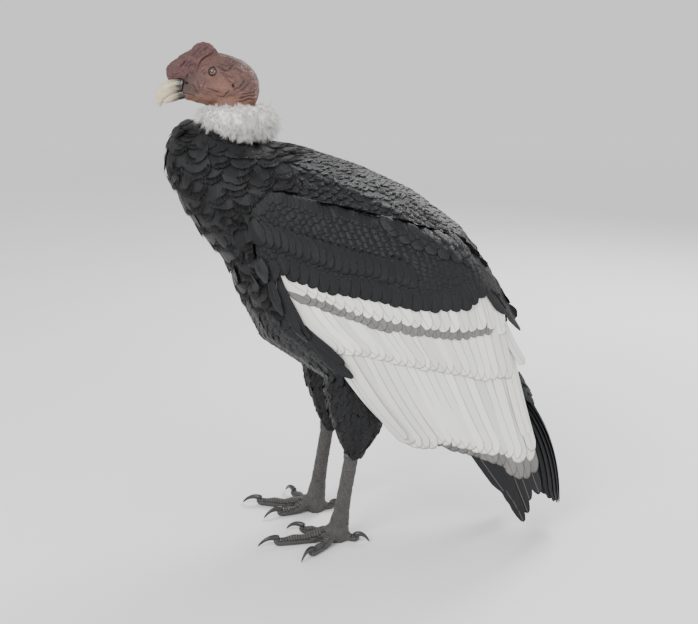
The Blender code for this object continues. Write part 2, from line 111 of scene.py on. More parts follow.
def along_line(line, shares):
    """Points at even shares of a polyline's length."""
    line = np.asarray(line, float)
    lengths = np.r_[0, np.cumsum(np.linalg.norm(np.diff(line, axis=0), axis=1))]
    places = np.asarray(shares) * lengths[-1]
    return np.stack([np.interp(places, lengths, line[:, axis]) for axis in range(line.shape[1])], -1)


def packed(values, kind=np.float32):
    """Numbers as a mesh takes them."""
    return np.ascontiguousarray(values, kind).ravel()


def spot(line, share):
    """The place at one share of a polyline's length."""
    return along_line(line, [share])[0]


def mesh_from(name, points, faces):
    """A mesh object from arrays; every face has the same number of corners."""
    mesh = bpy.data.meshes.new(name)
    mesh.vertices.add(len(points))
    mesh.vertices.foreach_set("co", packed(points))
    mesh.loops.add(faces.size)
    mesh.loops.foreach_set("vertex_index", packed(faces, np.int32))
    mesh.polygons.add(len(faces))
    mesh.polygons.foreach_set("loop_start", np.arange(len(faces), dtype=np.int32) * faces.shape[1])
    mesh.update(calc_edges=True)
    mesh.validate()
    mesh.shade_smooth()
    made = bpy.data.objects.new(name, mesh)
    bpy.context.scene.collection.objects.link(made)
    return made


def rows_of(elements, field):
    """A vector field of the points or faces of a mesh, one row each."""
    values = np.zeros(len(elements) * 3, np.float32)
    elements.foreach_get(field, values)
    return values.reshape(-1, 3).astype(float)


def coordinates(thing):
    return rows_of(thing.data.vertices, "co")


def vertex_normals(thing):
    return rows_of(thing.data.vertices, "normal")


def move_to(thing, points):
    thing.data.vertices.foreach_set("co", packed(points))
    thing.data.update()


def swell(thing, amounts):
    """Moves the points of a mesh out along their normals."""
    move_to(thing, coordinates(thing) + vertex_normals(thing) * amounts)


def add_numbers(thing, name, values, kind="FLOAT"):
    """A named attribute on the points of a mesh."""
    field = {"FLOAT": "value", "FLOAT_VECTOR": "vector", "FLOAT_COLOR": "color"}[kind]
    thing.data.attributes.new(name, kind, "POINT").data.foreach_set(field, packed(values))


def add_bake_map(thing, places):
    """The map that the export bakes through, from one place for each corner of a face."""
    thing.data.uv_layers.new(name="OFBake").data.foreach_set("uv", packed(places))


def select_only(*things):
    bpy.ops.object.select_all(action="DESELECT")
    for thing in things:
        thing.select_set(True)
    bpy.context.view_layer.objects.active = things[0]


def edit(thing, *steps, select="SELECT"):
    """Edit-mode operators on a mesh, after selecting all of it, none of it, or leaving that as it is."""
    select_only(thing)
    bpy.ops.object.mode_set(mode="EDIT")
    if select:
        bpy.ops.mesh.select_all(action=select)
    for operator, settings in steps:
        operator(**settings)
    bpy.ops.object.mode_set(mode="OBJECT")


def finish_with(thing, kind, **settings):
    """Adds one modifier and applies it."""
    select_only(thing)
    modifier = thing.modifiers.new(kind, kind)
    for name, value in settings.items():
        setattr(modifier, name, value)
    bpy.ops.object.modifier_apply(modifier=modifier.name)


def remesh(thing, voxel, rounds):
    """One even, closed surface round a mesh, softened."""
    finish_with(thing, "REMESH", mode="VOXEL", voxel_size=voxel, adaptivity=0.0)
    finish_with(thing, "SMOOTH", factor=0.5, iterations=rounds)


def copy_of_node(node, grow=0.0):
    """A copy of a solid with its loose triangles merged, swollen by a little."""
    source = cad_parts[node]
    made = source.copy()
    made.data = source.data.copy()
    made.parent = None
    made.hide_render = False
    made.hide_viewport = False
    for key in list(made.keys()):
        del made[key]
    bpy.context.scene.collection.objects.link(made)
    made.data.materials.clear()
    edit(made, (bpy.ops.mesh.remove_doubles, {"threshold": MERGE_REACH}))
    if grow:
        swell(made, grow)
    return made


def renamed(thing, name):
    thing.name = name
    thing.data.name = name
    return thing


def joined(name, pieces):
    select_only(*pieces)
    bpy.ops.object.join()
    return renamed(pieces[0], name)


def both(stem):
    return [f"{stem}_{side}" for side in SIDES]


class Surface:
    """Finds places on a mesh: the closest one, or the one seen from the bird's side."""

    def __init__(self, thing):
        self.points = coordinates(thing)
        faces = [tuple(face.vertices) for face in thing.data.polygons]
        self.tree = BVHTree.FromPolygons([tuple(point) for point in self.points], faces)

    @classmethod
    def of_node(cls, node):
        copy = copy_of_node(node)
        made = cls(copy)
        bpy.data.objects.remove(copy)
        return made

    def nearest(self, place):
        found, normal, _, _ = self.tree.find_nearest(Vector(place))
        return np.array(found), np.array(normal)

    def gap(self, place):
        return self.tree.find_nearest(Vector(place))[3]

    def gaps(self, places):
        return np.array([self.gap(place) for place in places])

    def hit(self, start, heading, reach):
        return self.tree.ray_cast(Vector(start), Vector(heading), reach)[0] is not None

    def from_side(self, x, z, side):
        found, normal, _, _ = self.tree.ray_cast(Vector((x, side * OUTSIDE, z)), Vector((0, -side, 0)))
        if found is None or abs(normal.y) < LEAST_FACING:
            return None, None
        return np.array(found), np.array(normal)

    def first_from_side(self, x, z, side):
        """The place seen from the side, or the first one a little below it."""
        for drop in DROPS:
            place = self.from_side(x, z - drop, side)[0]
            if place is not None:
                return place
        return None


# --- shading ------------------------------------------------------------------

BARB_SLANT = -1.15  # how far a barb runs towards the tip for each step away from the shaft
FULL_TURN = 6.2832
# the rim tint below also colours the painted shade on the rims of white and grey feathers
GREY_RIM = np.array((1.0, 0.97, 0.94))  # rims and shafts are a little warmer than grey
GREY_SHAFT = np.array((1.0, 0.92, 0.84))


class Nodes:
    """Short ways to add nodes to one tree; each input is a value or the socket that feeds it."""

    def __init__(self, tree):
        self.tree = tree

    def add(self, kind, inputs=(), **settings):
        made = self.tree.nodes.new(f"ShaderNode{kind}")
        for name, value in settings.items():
            setattr(made, name, value)
        for socket, value in dict(inputs).items():
            self.feed(made.inputs[socket], value)
        return made

    def feed(self, socket, value):
        if isinstance(value, bpy.types.NodeSocket):
            self.tree.links.new(value, socket)
        else:
            socket.default_value = value

    def place(self):
        return self.add("TexCoord").outputs["Object"]

    def mark(self, name, output="Fac"):
        return self.add("Attribute", attribute_name=name).outputs[output]

    def noise(self, place, scale, detail):
        return self.add("TexNoise", {"Vector": place, "Scale": scale, "Detail": detail}).outputs["Fac"]

    def math(self, operation, *values):
        return self.add("Math", enumerate(values), operation=operation).outputs[0]

    def span(self, source, low, high, to_low=0.0, to_high=1.0):
        """Maps a value from one range to another, clamped."""
        ends = {"From Min": low, "From Max": high, "To Min": to_low, "To Max": to_high}
        return self.add("MapRange", {"Value": source, **ends}).outputs["Result"]

    def blend(self, share, first, second):
        """Mixes two colours by a socket."""
        ends = [end if isinstance(end, bpy.types.NodeSocket) else (*end, 1.0) for end in (first, second)]
        return self.add("Mix", {0: share, 6: ends[0], 7: ends[1]}, data_type="RGBA").outputs[2]

    def put_out(self, **found):
        """Closes a node group with its outputs."""
        for name, socket in found.items():
            kind = "Color" if socket.type == "RGBA" else "Float"
            self.tree.interface.new_socket(name, in_out="OUTPUT", socket_type=f"NodeSocket{kind}")
        result = self.tree.nodes.new("NodeGroupOutput").inputs
        for name, socket in found.items():
            self.feed(result[name], socket)
        return self.tree


class Shader(Nodes):
    """A material with its Principled shader and the values of that shader's sockets."""

    def __init__(self, name, **sockets):
        self.material = bpy.data.materials.get(name) or bpy.data.materials.new(name)
        self.material.use_nodes = True
        super().__init__(self.material.node_tree)
        self.inputs = self.tree.nodes["Principled BSDF"].inputs
        for socket, value in sockets.items():
            self.inputs[socket.replace("_", " ")].default_value = value

    def finish(self, colour, rough=None, height=None, strength=0.0, distance=0.0):
        """Feeds the shader its colour, roughness and bump."""
        self.feed(self.inputs["Base Color"], colour)
        if rough:
            self.feed(self.inputs["Roughness"], rough)
            bump = self.add("Bump", {"Strength": strength, "Distance": distance, "Height": height})
            self.feed(self.inputs["Normal"], bump.outputs["Normal"])
        return self.material


def feather_group():
    """Shared look of every vane, read from its 'vane' attribute: across, along, and in from its edge.

    Barbs slant away from the shaft. Barbs, Shaft and Edge are masks, Tone differs from feather to feather,
    and Height is for a bump.
    """
    group = bpy.data.node_groups.get("feather_vane")
    if group:
        return group
    group = bpy.data.node_groups.new("feather_vane", "ShaderNodeTree")
    for name, value in (("Barb Gap", 0.0009), ("Shaft Width", 0.0008), ("Edge Width", 0.002)):
        group.interface.new_socket(name, in_out="INPUT", socket_type="NodeSocketFloat").default_value = value
    nodes = Nodes(group)
    given = group.nodes.new("NodeGroupInput").outputs
    across, along, inward = nodes.add("SeparateXYZ", {0: nodes.mark("vane", "Vector")}).outputs
    across = nodes.math("ABSOLUTE", across)
    noise = nodes.noise(nodes.place(), 160.0, 2.0)
    slant = nodes.math("MULTIPLY_ADD", across, BARB_SLANT, along)
    phase = nodes.math("ADD", slant, nodes.span(noise, 0.3, 0.7, -0.0008, 0.0008))
    turns = nodes.math("DIVIDE", phase, given["Barb Gap"])
    barbs = nodes.span(nodes.math("SINE", nodes.math("MULTIPLY", turns, FULL_TURN)), -1.0, 1.0)
    near = nodes.math("DIVIDE", across, nodes.math("MULTIPLY", given["Shaft Width"], 0.5))
    shaft = nodes.math("MULTIPLY", nodes.span(near, 1.25, 0.7), nodes.span(inward, 0.0005, 0.006))
    edge = nodes.span(nodes.math("DIVIDE", inward, given["Edge Width"]), 1.0, 0.0)
    coarse = nodes.math("MULTIPLY", nodes.span(noise, 0.3, 0.7), 0.3)
    height = nodes.math("ADD", nodes.math("MULTIPLY", barbs, 0.35), coarse)
    height = nodes.math("ADD", height, nodes.math("MULTIPLY", shaft, 1.3))
    return nodes.put_out(Barbs=barbs, Shaft=shaft, Edge=edge, Tone=nodes.mark("tone"), Height=height)


# Kinds of feather: colour setting, greys of rim and shaft, gap between barbs, widths of shaft and rim,
# and roughness. The rim is a paler fringe on black feathers; on white and grey feathers its darker
# grey is painted shade between the overlapping feathers
FEATHER_LOOKS = {
    "breast": ("black", 0.015, 0.012, 0.0013, 0.0007, 0.0070, 0.50),
    "body": ("black", 0.018, 0.018, 0.0009, 0.0008, 0.0020, 0.46),
    "covert": ("black", 0.021, 0.018, 0.0009, 0.0008, 0.0018, 0.44),
    "thigh": ("black", 0.018, 0.014, 0.0009, 0.0008, 0.0025, 0.55),
    "tail": ("black", 0.028, 0.034, 0.0012, 0.0016, 0.0016, 0.42),
    "primary": ("black", 0.028, 0.070, 0.0012, 0.0018, 0.0015, 0.42),
    "white": ("white", 0.190, 0.480, 0.0013, 0.0013, 0.0011, 0.62),
    "grey": ("grey", 0.050, 0.100, 0.0012, 0.0011, 0.0013, 0.55),
}


def feather_look(kind):
    """The material of one kind of feather."""
    colour, rim, shaft, gap, shaft_width, edge, rough = FEATHER_LOOKS[kind]
    colour = np.array(getattr(bpy.context.scene.condor, colour))
    made = Shader(f"plumage_{kind}", Roughness=rough, Specular_IOR_Level=0.27)
    widths = {"Barb Gap": gap, "Shaft Width": shaft_width, "Edge Width": edge}
    vane = made.add("Group", widths, node_tree=feather_group()).outputs
    toned = made.blend(vane["Tone"], colour * 0.84, colour * 1.15 + 0.001)
    barbed = made.blend(made.span(vane["Barbs"], 0, 1, 0.0, 0.35), toned, colour * 0.8)
    # the rim: a paler fringe on black feathers, painted shade between the feathers on white and grey ones
    rim_and_shade = made.blend(made.span(vane["Edge"], 0, 1, 0.0, 0.85), barbed, rim * GREY_RIM)
    shafted = made.blend(vane["Shaft"], rim_and_shade, shaft * GREY_SHAFT)
    dulled = made.span(vane["Barbs"], 0, 1, rough - 0.06, rough + 0.08)
    return made.finish(shafted, dulled, vane["Height"], 0.55, 0.0006)


def worn_group():
    """Shared wear of horn, scales, bristles and down: a grain, and three colours mottled by it."""
    group = bpy.data.node_groups.get("worn_grain")
    if group:
        return group
    group = bpy.data.node_groups.new("worn_grain", "ShaderNodeTree")
    for name in ("Dark", "Plain", "Pale"):
        group.interface.new_socket(name, in_out="INPUT", socket_type="NodeSocketColor")
    group.interface.new_socket("Scale", in_out="INPUT", socket_type="NodeSocketFloat")
    group.interface.new_socket("Stretch", in_out="INPUT", socket_type="NodeSocketVector")
    nodes = Nodes(group)
    given = group.nodes.new("NodeGroupInput").outputs
    stretched = nodes.add("Mapping", {"Vector": nodes.place(), "Scale": given["Stretch"]}).outputs[0]
    grain = nodes.noise(stretched, given["Scale"], 5.0)
    colour = nodes.blend(nodes.span(grain, 0.50, 0.75, 0.0, 0.6), given["Plain"], given["Pale"])
    colour = nodes.blend(nodes.span(grain, 0.50, 0.30, 0.0, 0.5), colour, given["Dark"])
    return nodes.put_out(Colour=colour, Grain=grain)


def worn_material(name, colours, scale, rough, strength, distance, stretch=(1, 1, 1), root=None, **sockets):
    """Mottled between three colours, dark, plain and pale; scales and tufts darken towards their rim or root.

    root, if given, is where along X a darker root starts and ends, and its colour.
    """
    made = Shader(name, **sockets)
    values = {key: (*colour, 1.0) for key, colour in zip(("Dark", "Plain", "Pale"), colours)}
    values.update(Scale=scale, Stretch=stretch)
    worn, grain = made.add("Group", values, node_tree=worn_group()).outputs
    if root is None:
        for mark, low, high, most in (("tone", 0.0, 1.0, 0.35), ("tip", 0.5, 0.0, 0.9)):
            worn = made.blend(made.span(made.mark(mark), low, high, 0.0, most), worn, colours[0])
    else:
        along = made.add("SeparateXYZ", {0: made.place()}).outputs["X"]
        along = made.math("ADD", along, made.span(grain, 0.3, 0.7, -0.005, 0.005))
        worn = made.blend(made.span(along, *root[:2]), root[2], worn)
    return made.finish(worn, made.span(grain, 0.3, 0.7, *rough), grain, strength, distance)


# --- settings -------------------------------------------------------------------


def colour_setting(name, description, default):
    return bpy.props.FloatVectorProperty(
        name=name, description=description, subtype="COLOR", size=3, min=0.0, max=1.0, default=default
    )


def length_setting(name, description, default):
    return bpy.props.FloatProperty(
        name=name, description=description, default=default, min=0.0, subtype="DISTANCE", unit="LENGTH"
    )


class CondorSettings(bpy.types.PropertyGroup):
    """Colours and sizes of the bird that a user may change before building."""

    black: colour_setting(
        "Black plumage", "Body feathers, coverts, primaries and tail", (0.0058, 0.0062, 0.0080)
    )
    white: colour_setting("White plumage", "Greater coverts and secondaries", (0.80, 0.79, 0.76))
    grey: colour_setting("Grey feather tips", "Tips between the white rows", (0.17, 0.165, 0.16))
    down: colour_setting("Ruff", "Down of the collar", (0.88, 0.87, 0.84))
    skin: colour_setting("Head skin", "Bare skin of the head and neck", (0.125, 0.057, 0.045))
    comb: colour_setting("Comb", "Fleshy comb of the male", (0.085, 0.034, 0.033))
    legs: colour_setting("Legs", "Scaly skin of tarsi and toes", (0.062, 0.058, 0.056))
    horn: colour_setting("Bill tip", "Ivory end of the bill", (0.56, 0.47, 0.32))
    horn_base: colour_setting("Bill base", "Dark root of the bill", (0.022, 0.017, 0.015))
    iris: colour_setting("Iris", "Ring of the eye", (0.085, 0.034, 0.014))
    coat_depth: length_setting("Coat depth", "How far the skin lies inside the coat", 0.006)
    body_feather: length_setting("Body feather", "Length of a back feather", 0.034)
    breast_feather: length_setting("Breast feather", "Length of a breast feather", 0.062)
    down_length: length_setting("Down length", "Length of a tuft of the ruff", 0.0132)


# --- skin -----------------------------------------------------------------------

SKIN_VOXEL = 0.00195
SKIN_SWELL = 0.0010  # bridges the gaps between the solids before they are fused
BODY_TRIANGLES = 14000  # left of the skin that the coat hides
LEG_TRIANGLES = 18000
COVERED_TOP = (EYE.z - 0.098, EYE.z - 0.070)  # the coat thins out between these heights
COVERED_BOTTOM = (0.188, 0.212)
VENT = (0.10, 0.14)  # aft of here the body is feathered however low it is
THIN_WING = 0.245  # aft of here the folded wing is too thin to carry skin under its coverts
THIN_WING_BOTTOM = 0.40
BARE_HEAD = EYE.z - 0.070
NEAR_EYE = 0.0125
LID_OPENING = 0.0060
LID_EDGE = 0.0078  # past this far from the eye's axis the lid is part of the face
TOE_PAD = 0.018  # length of the rounded end of a toe
TOE_REACH = 0.022
TOE_DRAWN_IN = 0.0035  # how far a toe's end sinks and is drawn back
HIDDEN_SKIN = (0.20, EYE.z - 0.100)  # heights between which the coat hides all skin
LEG_TOP = 0.19

# Folds of the bare skin, in tenths of a millimetre: depth, half width, then how far forward of and above
# the eye each point of the fold lies
FOLDS = [
    (16, 15, -15, 88, -60, 92, -120, 68, -180, 32, -250, 18, -300, 53, -340, 110, -390, 158),
    (9, 12, -104, -3, -180, -35, -270, -76, -370, -84),
    (9, 12, -130, -65, -224, -100, -300, -165, -360, -202, -410, -180),
    (7, 12, -100, 125, -224, 105, -300, 125, -360, 174),
    (7, 11, -328, 45, -388, 70, -455, 21, -520, -40),
    (8, 14, 142, -160, 189, -220, 205, -290),
    (8, 12, 120, -265, 31, -310, -45, -330, -120, -320),
    (10, 14, -80, -400, -180, -430, -240, -366, -300, -300),
    (8, 12, 378, -205, 340, -300, 283, -398),
    (7, 11, 300, -120, 270, -220, 250, -310),
    (16, 15, -760, -300, -700, -342, -610, -374, -460, -398),
    (16, 15, -770, -360, -680, -402, -570, -430, -420, -450),
    (15, 15, -770, -430, -660, -470, -540, -490, -360, -500),
    (10, 14, -560, -120, -500, -200, -440, -265, -340, -310),
    (8, 12, -640, -200, -550, -270, -450, -325),
    (11, 14, 600, -345, 500, -365, 400, -405, 330, -460),
    (8, 11, 120, 20, 165, -30, 180, -90),
    (7, 11, 130, 75, 190, 40, 225, -20),
]
COMB_FOLDS = [
    (18, 18, 15, 335, 140, 245, 205, 190, 260, 100, 340, -20, 420, -95),
    (15, 15, 475, -40, 485, -90, 545, -160),
    (9, 14, 80, 410, 180, 370, 260, 310),
    (9, 14, 220, 410, 340, 330, 430, 250),
    (9, 14, 350, 220, 460, 140, 530, 70),
    (8, 12, 480, 200, 580, 120, 660, 30),
    (8, 12, 600, -20, 680, -40, 760, -60),
]
DOWNY_NECK = (0.60, 0.56, 0.52)  # skin under the ruff
# Nostril and ear: forward of and above the eye, half length and half height, depth
OPENINGS = [(0.0505, -0.0185, 0.0042, 0.0019, 0.0032), (-0.0345, -0.0235, 0.0021, 0.0030, 0.0020)]


def fold_relief(forward, up, folds):
    """Height of creases, each with a soft lip on its upper side, and how deep in a crease each point is.

    How deep in a crease a point is sets the painted shade of the skin.
    """
    height = np.zeros(len(forward))
    crease = np.zeros(len(forward))
    for fold in folds:
        depth, width, *line = np.array(fold) / 10000
        line = along_line(np.reshape(line, (-1, 2)), np.linspace(0, 1, 15))
        best = np.full(len(forward), 1.0)
        signed = np.zeros(len(forward))
        place = np.zeros(len(forward))
        for index, (start, end) in enumerate(zip(line[:-1], line[1:])):
            run = end - start
            square = run @ run
            share = np.clip(((forward - start[0]) * run[0] + (up - start[1]) * run[1]) / square, 0, 1)
            off_x = forward - start[0] - share * run[0]
            off_z = up - start[1] - share * run[1]
            gap = np.hypot(off_x, off_z)
            closer = gap < best
            best = np.where(closer, gap, best)
            signed = np.where(closer, np.where(off_z > 0, gap, -gap), signed)
            place = np.where(closer, (index + share) / (len(line) - 1), place)
        fade = np.clip(np.sin(np.pi * np.clip(place, 0.04, 0.96)) * 2.2, 0, 1)
        groove = np.exp(-((best / width) ** 2)) * fade
        roll = np.exp(-(((signed - 2.0 * width) / (1.6 * width)) ** 2)) * (best < 6 * width)
        under = np.exp(-(((signed + 2.2 * width) / (1.5 * width)) ** 2)) * (best < 6 * width)
        height += depth * (0.9 * roll + 0.35 * under - 0.9 * groove) * fade
        crease = np.maximum(crease, groove)
    return height, crease


def fused_skin(depth):
    """One closed surface of all the flesh, drawn in under the coat by its depth."""
    nodes = ["head", "comb", "neck", "trunk"] + both("thigh") + both("tarsus") + both("coverts_lesser")
    nodes += [f"toe_{toe}_{side}" for toe in TOES for side in SIDES]
    skin = joined("skin", [copy_of_node(node, SKIN_SWELL) for node in nodes])
    remesh(skin, SKIN_VOXEL, 6)
    points = coordinates(skin)
    inward = SKIN_SWELL * 0.9 + depth * covered_share(points, 0.0045)
    points = points - vertex_normals(skin) * inward[:, None]
    aft, off_middle, high = points.T
    wing_tip = (aft > THIN_WING) & (high > THIN_WING_BOTTOM) & (abs(off_middle) > 0.030)
    points[wing_tip, 0] = mix(THIN_WING, aft[wing_tip], 0.3)
    move_to(skin, rounded_toes(points))
    return skin


def claw_line(toe, side):
    """Points at the root, middle and tip of a claw, and the way it points over the floor."""
    solid = Surface.of_node(f"claw_{toe}_{side}").points
    tip = solid[solid[:, 2].argmin()]
    run = unit((tip - Surface.of_node(f"toe_{toe}_{side}").points.mean(0)) * (1, 1, 0))
    along = (tip - solid) @ run
    root = solid[along > 0.84 * along.max()].mean(0) - run * 0.003
    middle = solid[(along > 0.36 * along.max()) & (along < 0.62 * along.max())].mean(0)
    return root, middle, tip, run


def rounded_toes(points):
    """Draws the end of each toe in to a rounded pad under the root of its claw."""
    for toe in TOES:
        for side in SIDES:
            root, _, _, run = claw_line(toe, side)
            offset = points - root
            along = offset @ run
            off_line = offset - along[:, None] * run
            near = (np.linalg.norm(off_line, axis=1) < TOE_REACH) & (along < 0.030)
            share = np.clip((along + 0.005) / TOE_PAD, 0, 1) * near
            shrink = 1 - np.sqrt(1 - 0.86 * share**2)
            inward = (off_line + (0, 0, TOE_DRAWN_IN)) * shrink[:, None]
            points = points - inward - run * (TOE_DRAWN_IN * share**3)[:, None]
    return points


def covered_share(points, reach):
    """How far a place on the flesh is under feathers: 0 on the bare head and legs, 1 on the body.

    reach is how near the trunk's own surface a place must be to count as part of it.
    """
    z = points[:, 2]
    bottom = np.maximum(smooth_step(*COVERED_BOTTOM, z), smooth_step(*VENT, points[:, 0]))
    share = bottom * (1 - smooth_step(*COVERED_TOP, z))
    trunk = Surface.of_node("trunk")
    near = np.flatnonzero((z > COVERED_TOP[0] - 0.01) & (z < EYE.z - 0.045))
    share[near] = np.maximum(share[near], 1 - smooth_step(reach * 0.5, reach, trunk.gaps(points[near])))
    return share


def weigh(skin, chosen):
    """A vertex group of the points that pass a test, and which they are."""
    picked = chosen(coordinates(skin))
    skin.vertex_groups.new(name="chosen").add(np.flatnonzero(picked).tolist(), 1.0, "REPLACE")
    return picked


def thin_where(skin, chosen, left_over):
    """Leaves a given number of triangles where the places pass a test."""
    hidden = weigh(skin, chosen)
    skin.data.calc_loop_triangles()
    triangles = skin.data.loop_triangles
    corners = np.zeros(len(triangles) * 3, np.int32)
    triangles.foreach_get("vertices", corners)
    inside = hidden[corners.reshape(-1, 3)].all(1).sum()
    ratio = 1 - (inside - left_over) / len(triangles)
    finish_with(skin, "DECIMATE", ratio=ratio, vertex_group="chosen", use_collapse_triangulate=True)
    skin.vertex_groups.clear()


def split_faces(skin, chosen):
    """Subdivides the faces whose centre passes a test."""
    edit(skin, select="DESELECT")
    picked = chosen(rows_of(skin.data.polygons, "center"))
    skin.data.polygons.foreach_set("select", picked)
    edit(skin, (bpy.ops.mesh.subdivide, {"number_cuts": 1, "quadcorner": "INNERVERT"}), select=None)


def relax(skin, chosen, rounds):
    """Smooths only the points that pass a test."""
    weigh(skin, chosen)
    finish_with(skin, "SMOOTH", factor=0.5, iterations=rounds, vertex_group="chosen")
    skin.vertex_groups.clear()


def cracks(points, size, stretch, seed):
    """A cracked pattern over points: how near each is to its cell's border, and how far from its middle."""
    warped = points * stretch
    middles = warped[::4][spread(warped[::4], size, seed)]
    tree = KDTree(len(middles))
    for index, middle in enumerate(middles):
        tree.insert(middle, index)
    tree.balance()
    gaps = np.array([[found[2] for found in tree.find_n(place, 2)] for place in warped])
    return 1 - smooth_step(0.0, 0.32 * size, gaps[:, 1] - gaps[:, 0]), gaps[:, 0] / size


def near_eyes(points, reach):
    offset = points - np.array(EYE)
    offset[:, 1] = np.abs(points[:, 1]) - abs(EYE.y)
    return np.linalg.norm(offset, axis=1) < reach


def eye_axis(side):
    """The way an eye looks: out, a little ahead and down."""
    return np.array(Vector((-0.26, side, 0.03)).normalized())


def open_lids(points):
    """Draws the skin over each eyeball, with an almond opening and a rolled rim."""
    for side in SIDES.values():
        centre = np.array((EYE.x, side * abs(EYE.y), EYE.z))
        axis = eye_axis(side)
        offset = points - centre
        distance = np.linalg.norm(offset, axis=1)
        outward = offset @ axis
        flat = offset - outward[:, None] * axis
        reach = np.linalg.norm(flat, axis=1)
        front = (outward > 0) & (distance < 0.030)
        up = flat[:, 2] / np.maximum(reach, 1e-9)
        opening = LID_OPENING * (1 - 0.24 * np.abs(up) ** 1.5)
        rim = opening + 0.0003
        # the lid: a shell just over the ball that falls back to the face
        ball = np.sqrt(np.maximum(EYE_RADIUS**2 - np.minimum(reach, EYE_RADIUS) ** 2, 0))
        roll = 0.0011 * np.exp(-(((reach - rim - 0.0010) / 0.0013) ** 2))
        lid = ball + 0.0005 + roll
        hold = 1 - smooth_step(LID_EDGE, 0.0150, reach)
        wanted = mix(outward, np.maximum(lid, outward * (reach > LID_EDGE)), hold)
        wanted = np.where(reach < opening, ball * 0.55, wanted)
        points = np.where(front[:, None], points + (wanted - outward)[:, None] * axis, points)
    return points


def sculpt_head(skin, comb):
    """Sculpts folds, wrinkles, lids and nostrils, and marks how deep in a crease or wrinkle a point lies.

    The crease mark, at its strongest inside the nostril and ear, is painted as shade on the skin.
    """
    points = coordinates(skin)
    head = np.flatnonzero(points[:, 2] > EYE.z - 0.085)
    place = points[head]
    normal = vertex_normals(skin)[head]
    forward = EYE.x - place[:, 0]
    up = place[:, 2] - EYE.z
    comb_share = 1 - smooth_step(0.0012, 0.0030, comb.gaps(place))
    sideways = smooth_step(0.15, 0.5, np.abs(normal[:, 1]))
    sway, heave = 0.0011 * ripple(place, 0.012, 41), 0.0011 * ripple(place, 0.012, 42)
    folds, crease = fold_relief(forward + sway, up + heave, FOLDS)
    comb_folds, comb_crease = fold_relief(forward + sway, up + heave, COMB_FOLDS)
    skin_share = 1 - comb_share
    lift = folds * skin_share * sideways + comb_folds * comb_share * sideways
    crease = crease * skin_share * sideways + comb_crease * comb_share * sideways
    reach = np.hypot(forward, up)
    away_from_eye = smooth_step(0.008, 0.016, reach)
    bare = smooth_step(-0.080, -0.070, up)
    warped = place + 0.0022 * np.stack([ripple(place, 0.014, seed) for seed in (5, 6, 7)], -1)
    border, middle = cracks(warped, 0.0058, (0.55, 0.9, 1.5), 11)
    fine, _ = cracks(warped, 0.0030, (0.7, 1.0, 1.35), 12)
    lobes, lobe_middle = cracks(warped, 0.0095, (0.8, 1.0, 0.9), 13)
    wrinkle = skin_share * np.maximum(border, 0.6 * fine) + comb_share * np.maximum(lobes, 0.5 * border)
    lids = np.sin(reach * 2 * math.pi / 0.0022) * np.exp(-(((reach - 0.0118) / 0.0030) ** 2)) * sideways
    lift += away_from_eye * bare * skin_share * (-0.00042 * border - 0.00022 * fine - 0.0003 * middle**2)
    lift += comb_share * (0.0009 - 0.0009 * lobes - 0.0010 * lobe_middle**2 - 0.00026 * border)
    lift += 0.00026 * lids * skin_share
    lift += (0.00040 * ripple(place, 0.010, 14) + 0.0006 * ripple(place, 0.024, 15)) * bare * away_from_eye
    for ahead, above, long, high, deep in OPENINGS:
        gap = np.hypot((forward - ahead) / long, (up - above - (forward - ahead) * 0.3) / high)
        inside = (1 - smooth_step(0.75, 1.25, gap)) * (np.abs(normal[:, 1]) > 0.3)
        lift += 0.0006 * np.exp(-(((gap - 1.6) / 0.4) ** 2)) * sideways - deep * inside
        # marks the inside of each opening past a full crease, so the skin is painted near-black there as
        # shade
        crease = np.maximum(crease, 1.6 * inside)
    points[head] = open_lids(place + normal * lift[:, None])
    move_to(skin, points)
    for name, values in (("crease", crease), ("wrinkle", wrinkle * away_from_eye)):
        everywhere = np.zeros(len(points))
        everywhere[head] = values
        add_numbers(skin, name, everywhere)


def skin_colours(points, settings, comb):
    """Colour of each point of the skin: bare parts as they are, the rest like the coat above it."""
    forward = EYE.x - points[:, 0]
    up = points[:, 2] - EYE.z
    colour = np.tile(np.array(settings.skin), (len(points), 1))
    patches = ripple(points, 0.022, 21)
    small = ripple(points, 0.007, 22)
    high = points[:, 2]
    cheek = np.exp(-(((forward + 0.016) / 0.022) ** 2) - (((up + 0.024) / 0.016) ** 2))
    brow = np.exp(-(((forward + 0.020) / 0.024) ** 2) - (((up - 0.016) / 0.012) ** 2))
    lores = smooth_step(0.020, 0.050, forward) * smooth_step(-0.060, -0.020, up)
    nape = smooth_step(-0.030, -0.048, up)
    near = np.flatnonzero(up > -0.03)
    on_comb = np.zeros(len(points))
    on_comb[near] = 1 - smooth_step(0.0010, 0.0026, comb.gaps(points[near]))
    for share, wanted in (
        (0.30 + 0.30 * patches, (0.065, 0.036, 0.032)),
        (smooth_step(0.2, 1.2, small) * 0.35, (0.23, 0.105, 0.078)),
        (cheek * 0.55, (0.25, 0.11, 0.078)),
        (brow * 0.6, (0.060, 0.032, 0.030)),
        (lores * 0.75, (0.040, 0.025, 0.024)),
        (nape * 0.6, (0.25, 0.118, 0.078)),
        (near_eyes(points, 0.0095) * 0.75, (0.040, 0.024, 0.023)),
        (on_comb, settings.comb),
        (on_comb * smooth_step(0.1, 1.2, small) * 0.4, (0.15, 0.060, 0.052)),
        (smooth_step(EYE.z - 0.068, EYE.z - 0.076, high), DOWNY_NECK),
        (covered_share(points, 0.020), settings.black),
        (smooth_step(0.196, 0.180, high) * (points[:, 0] < VENT[0]), settings.legs),
    ):
        colour = mix(colour, np.array(wanted)[:3], np.clip(share, 0, 1)[:, None])
    return colour


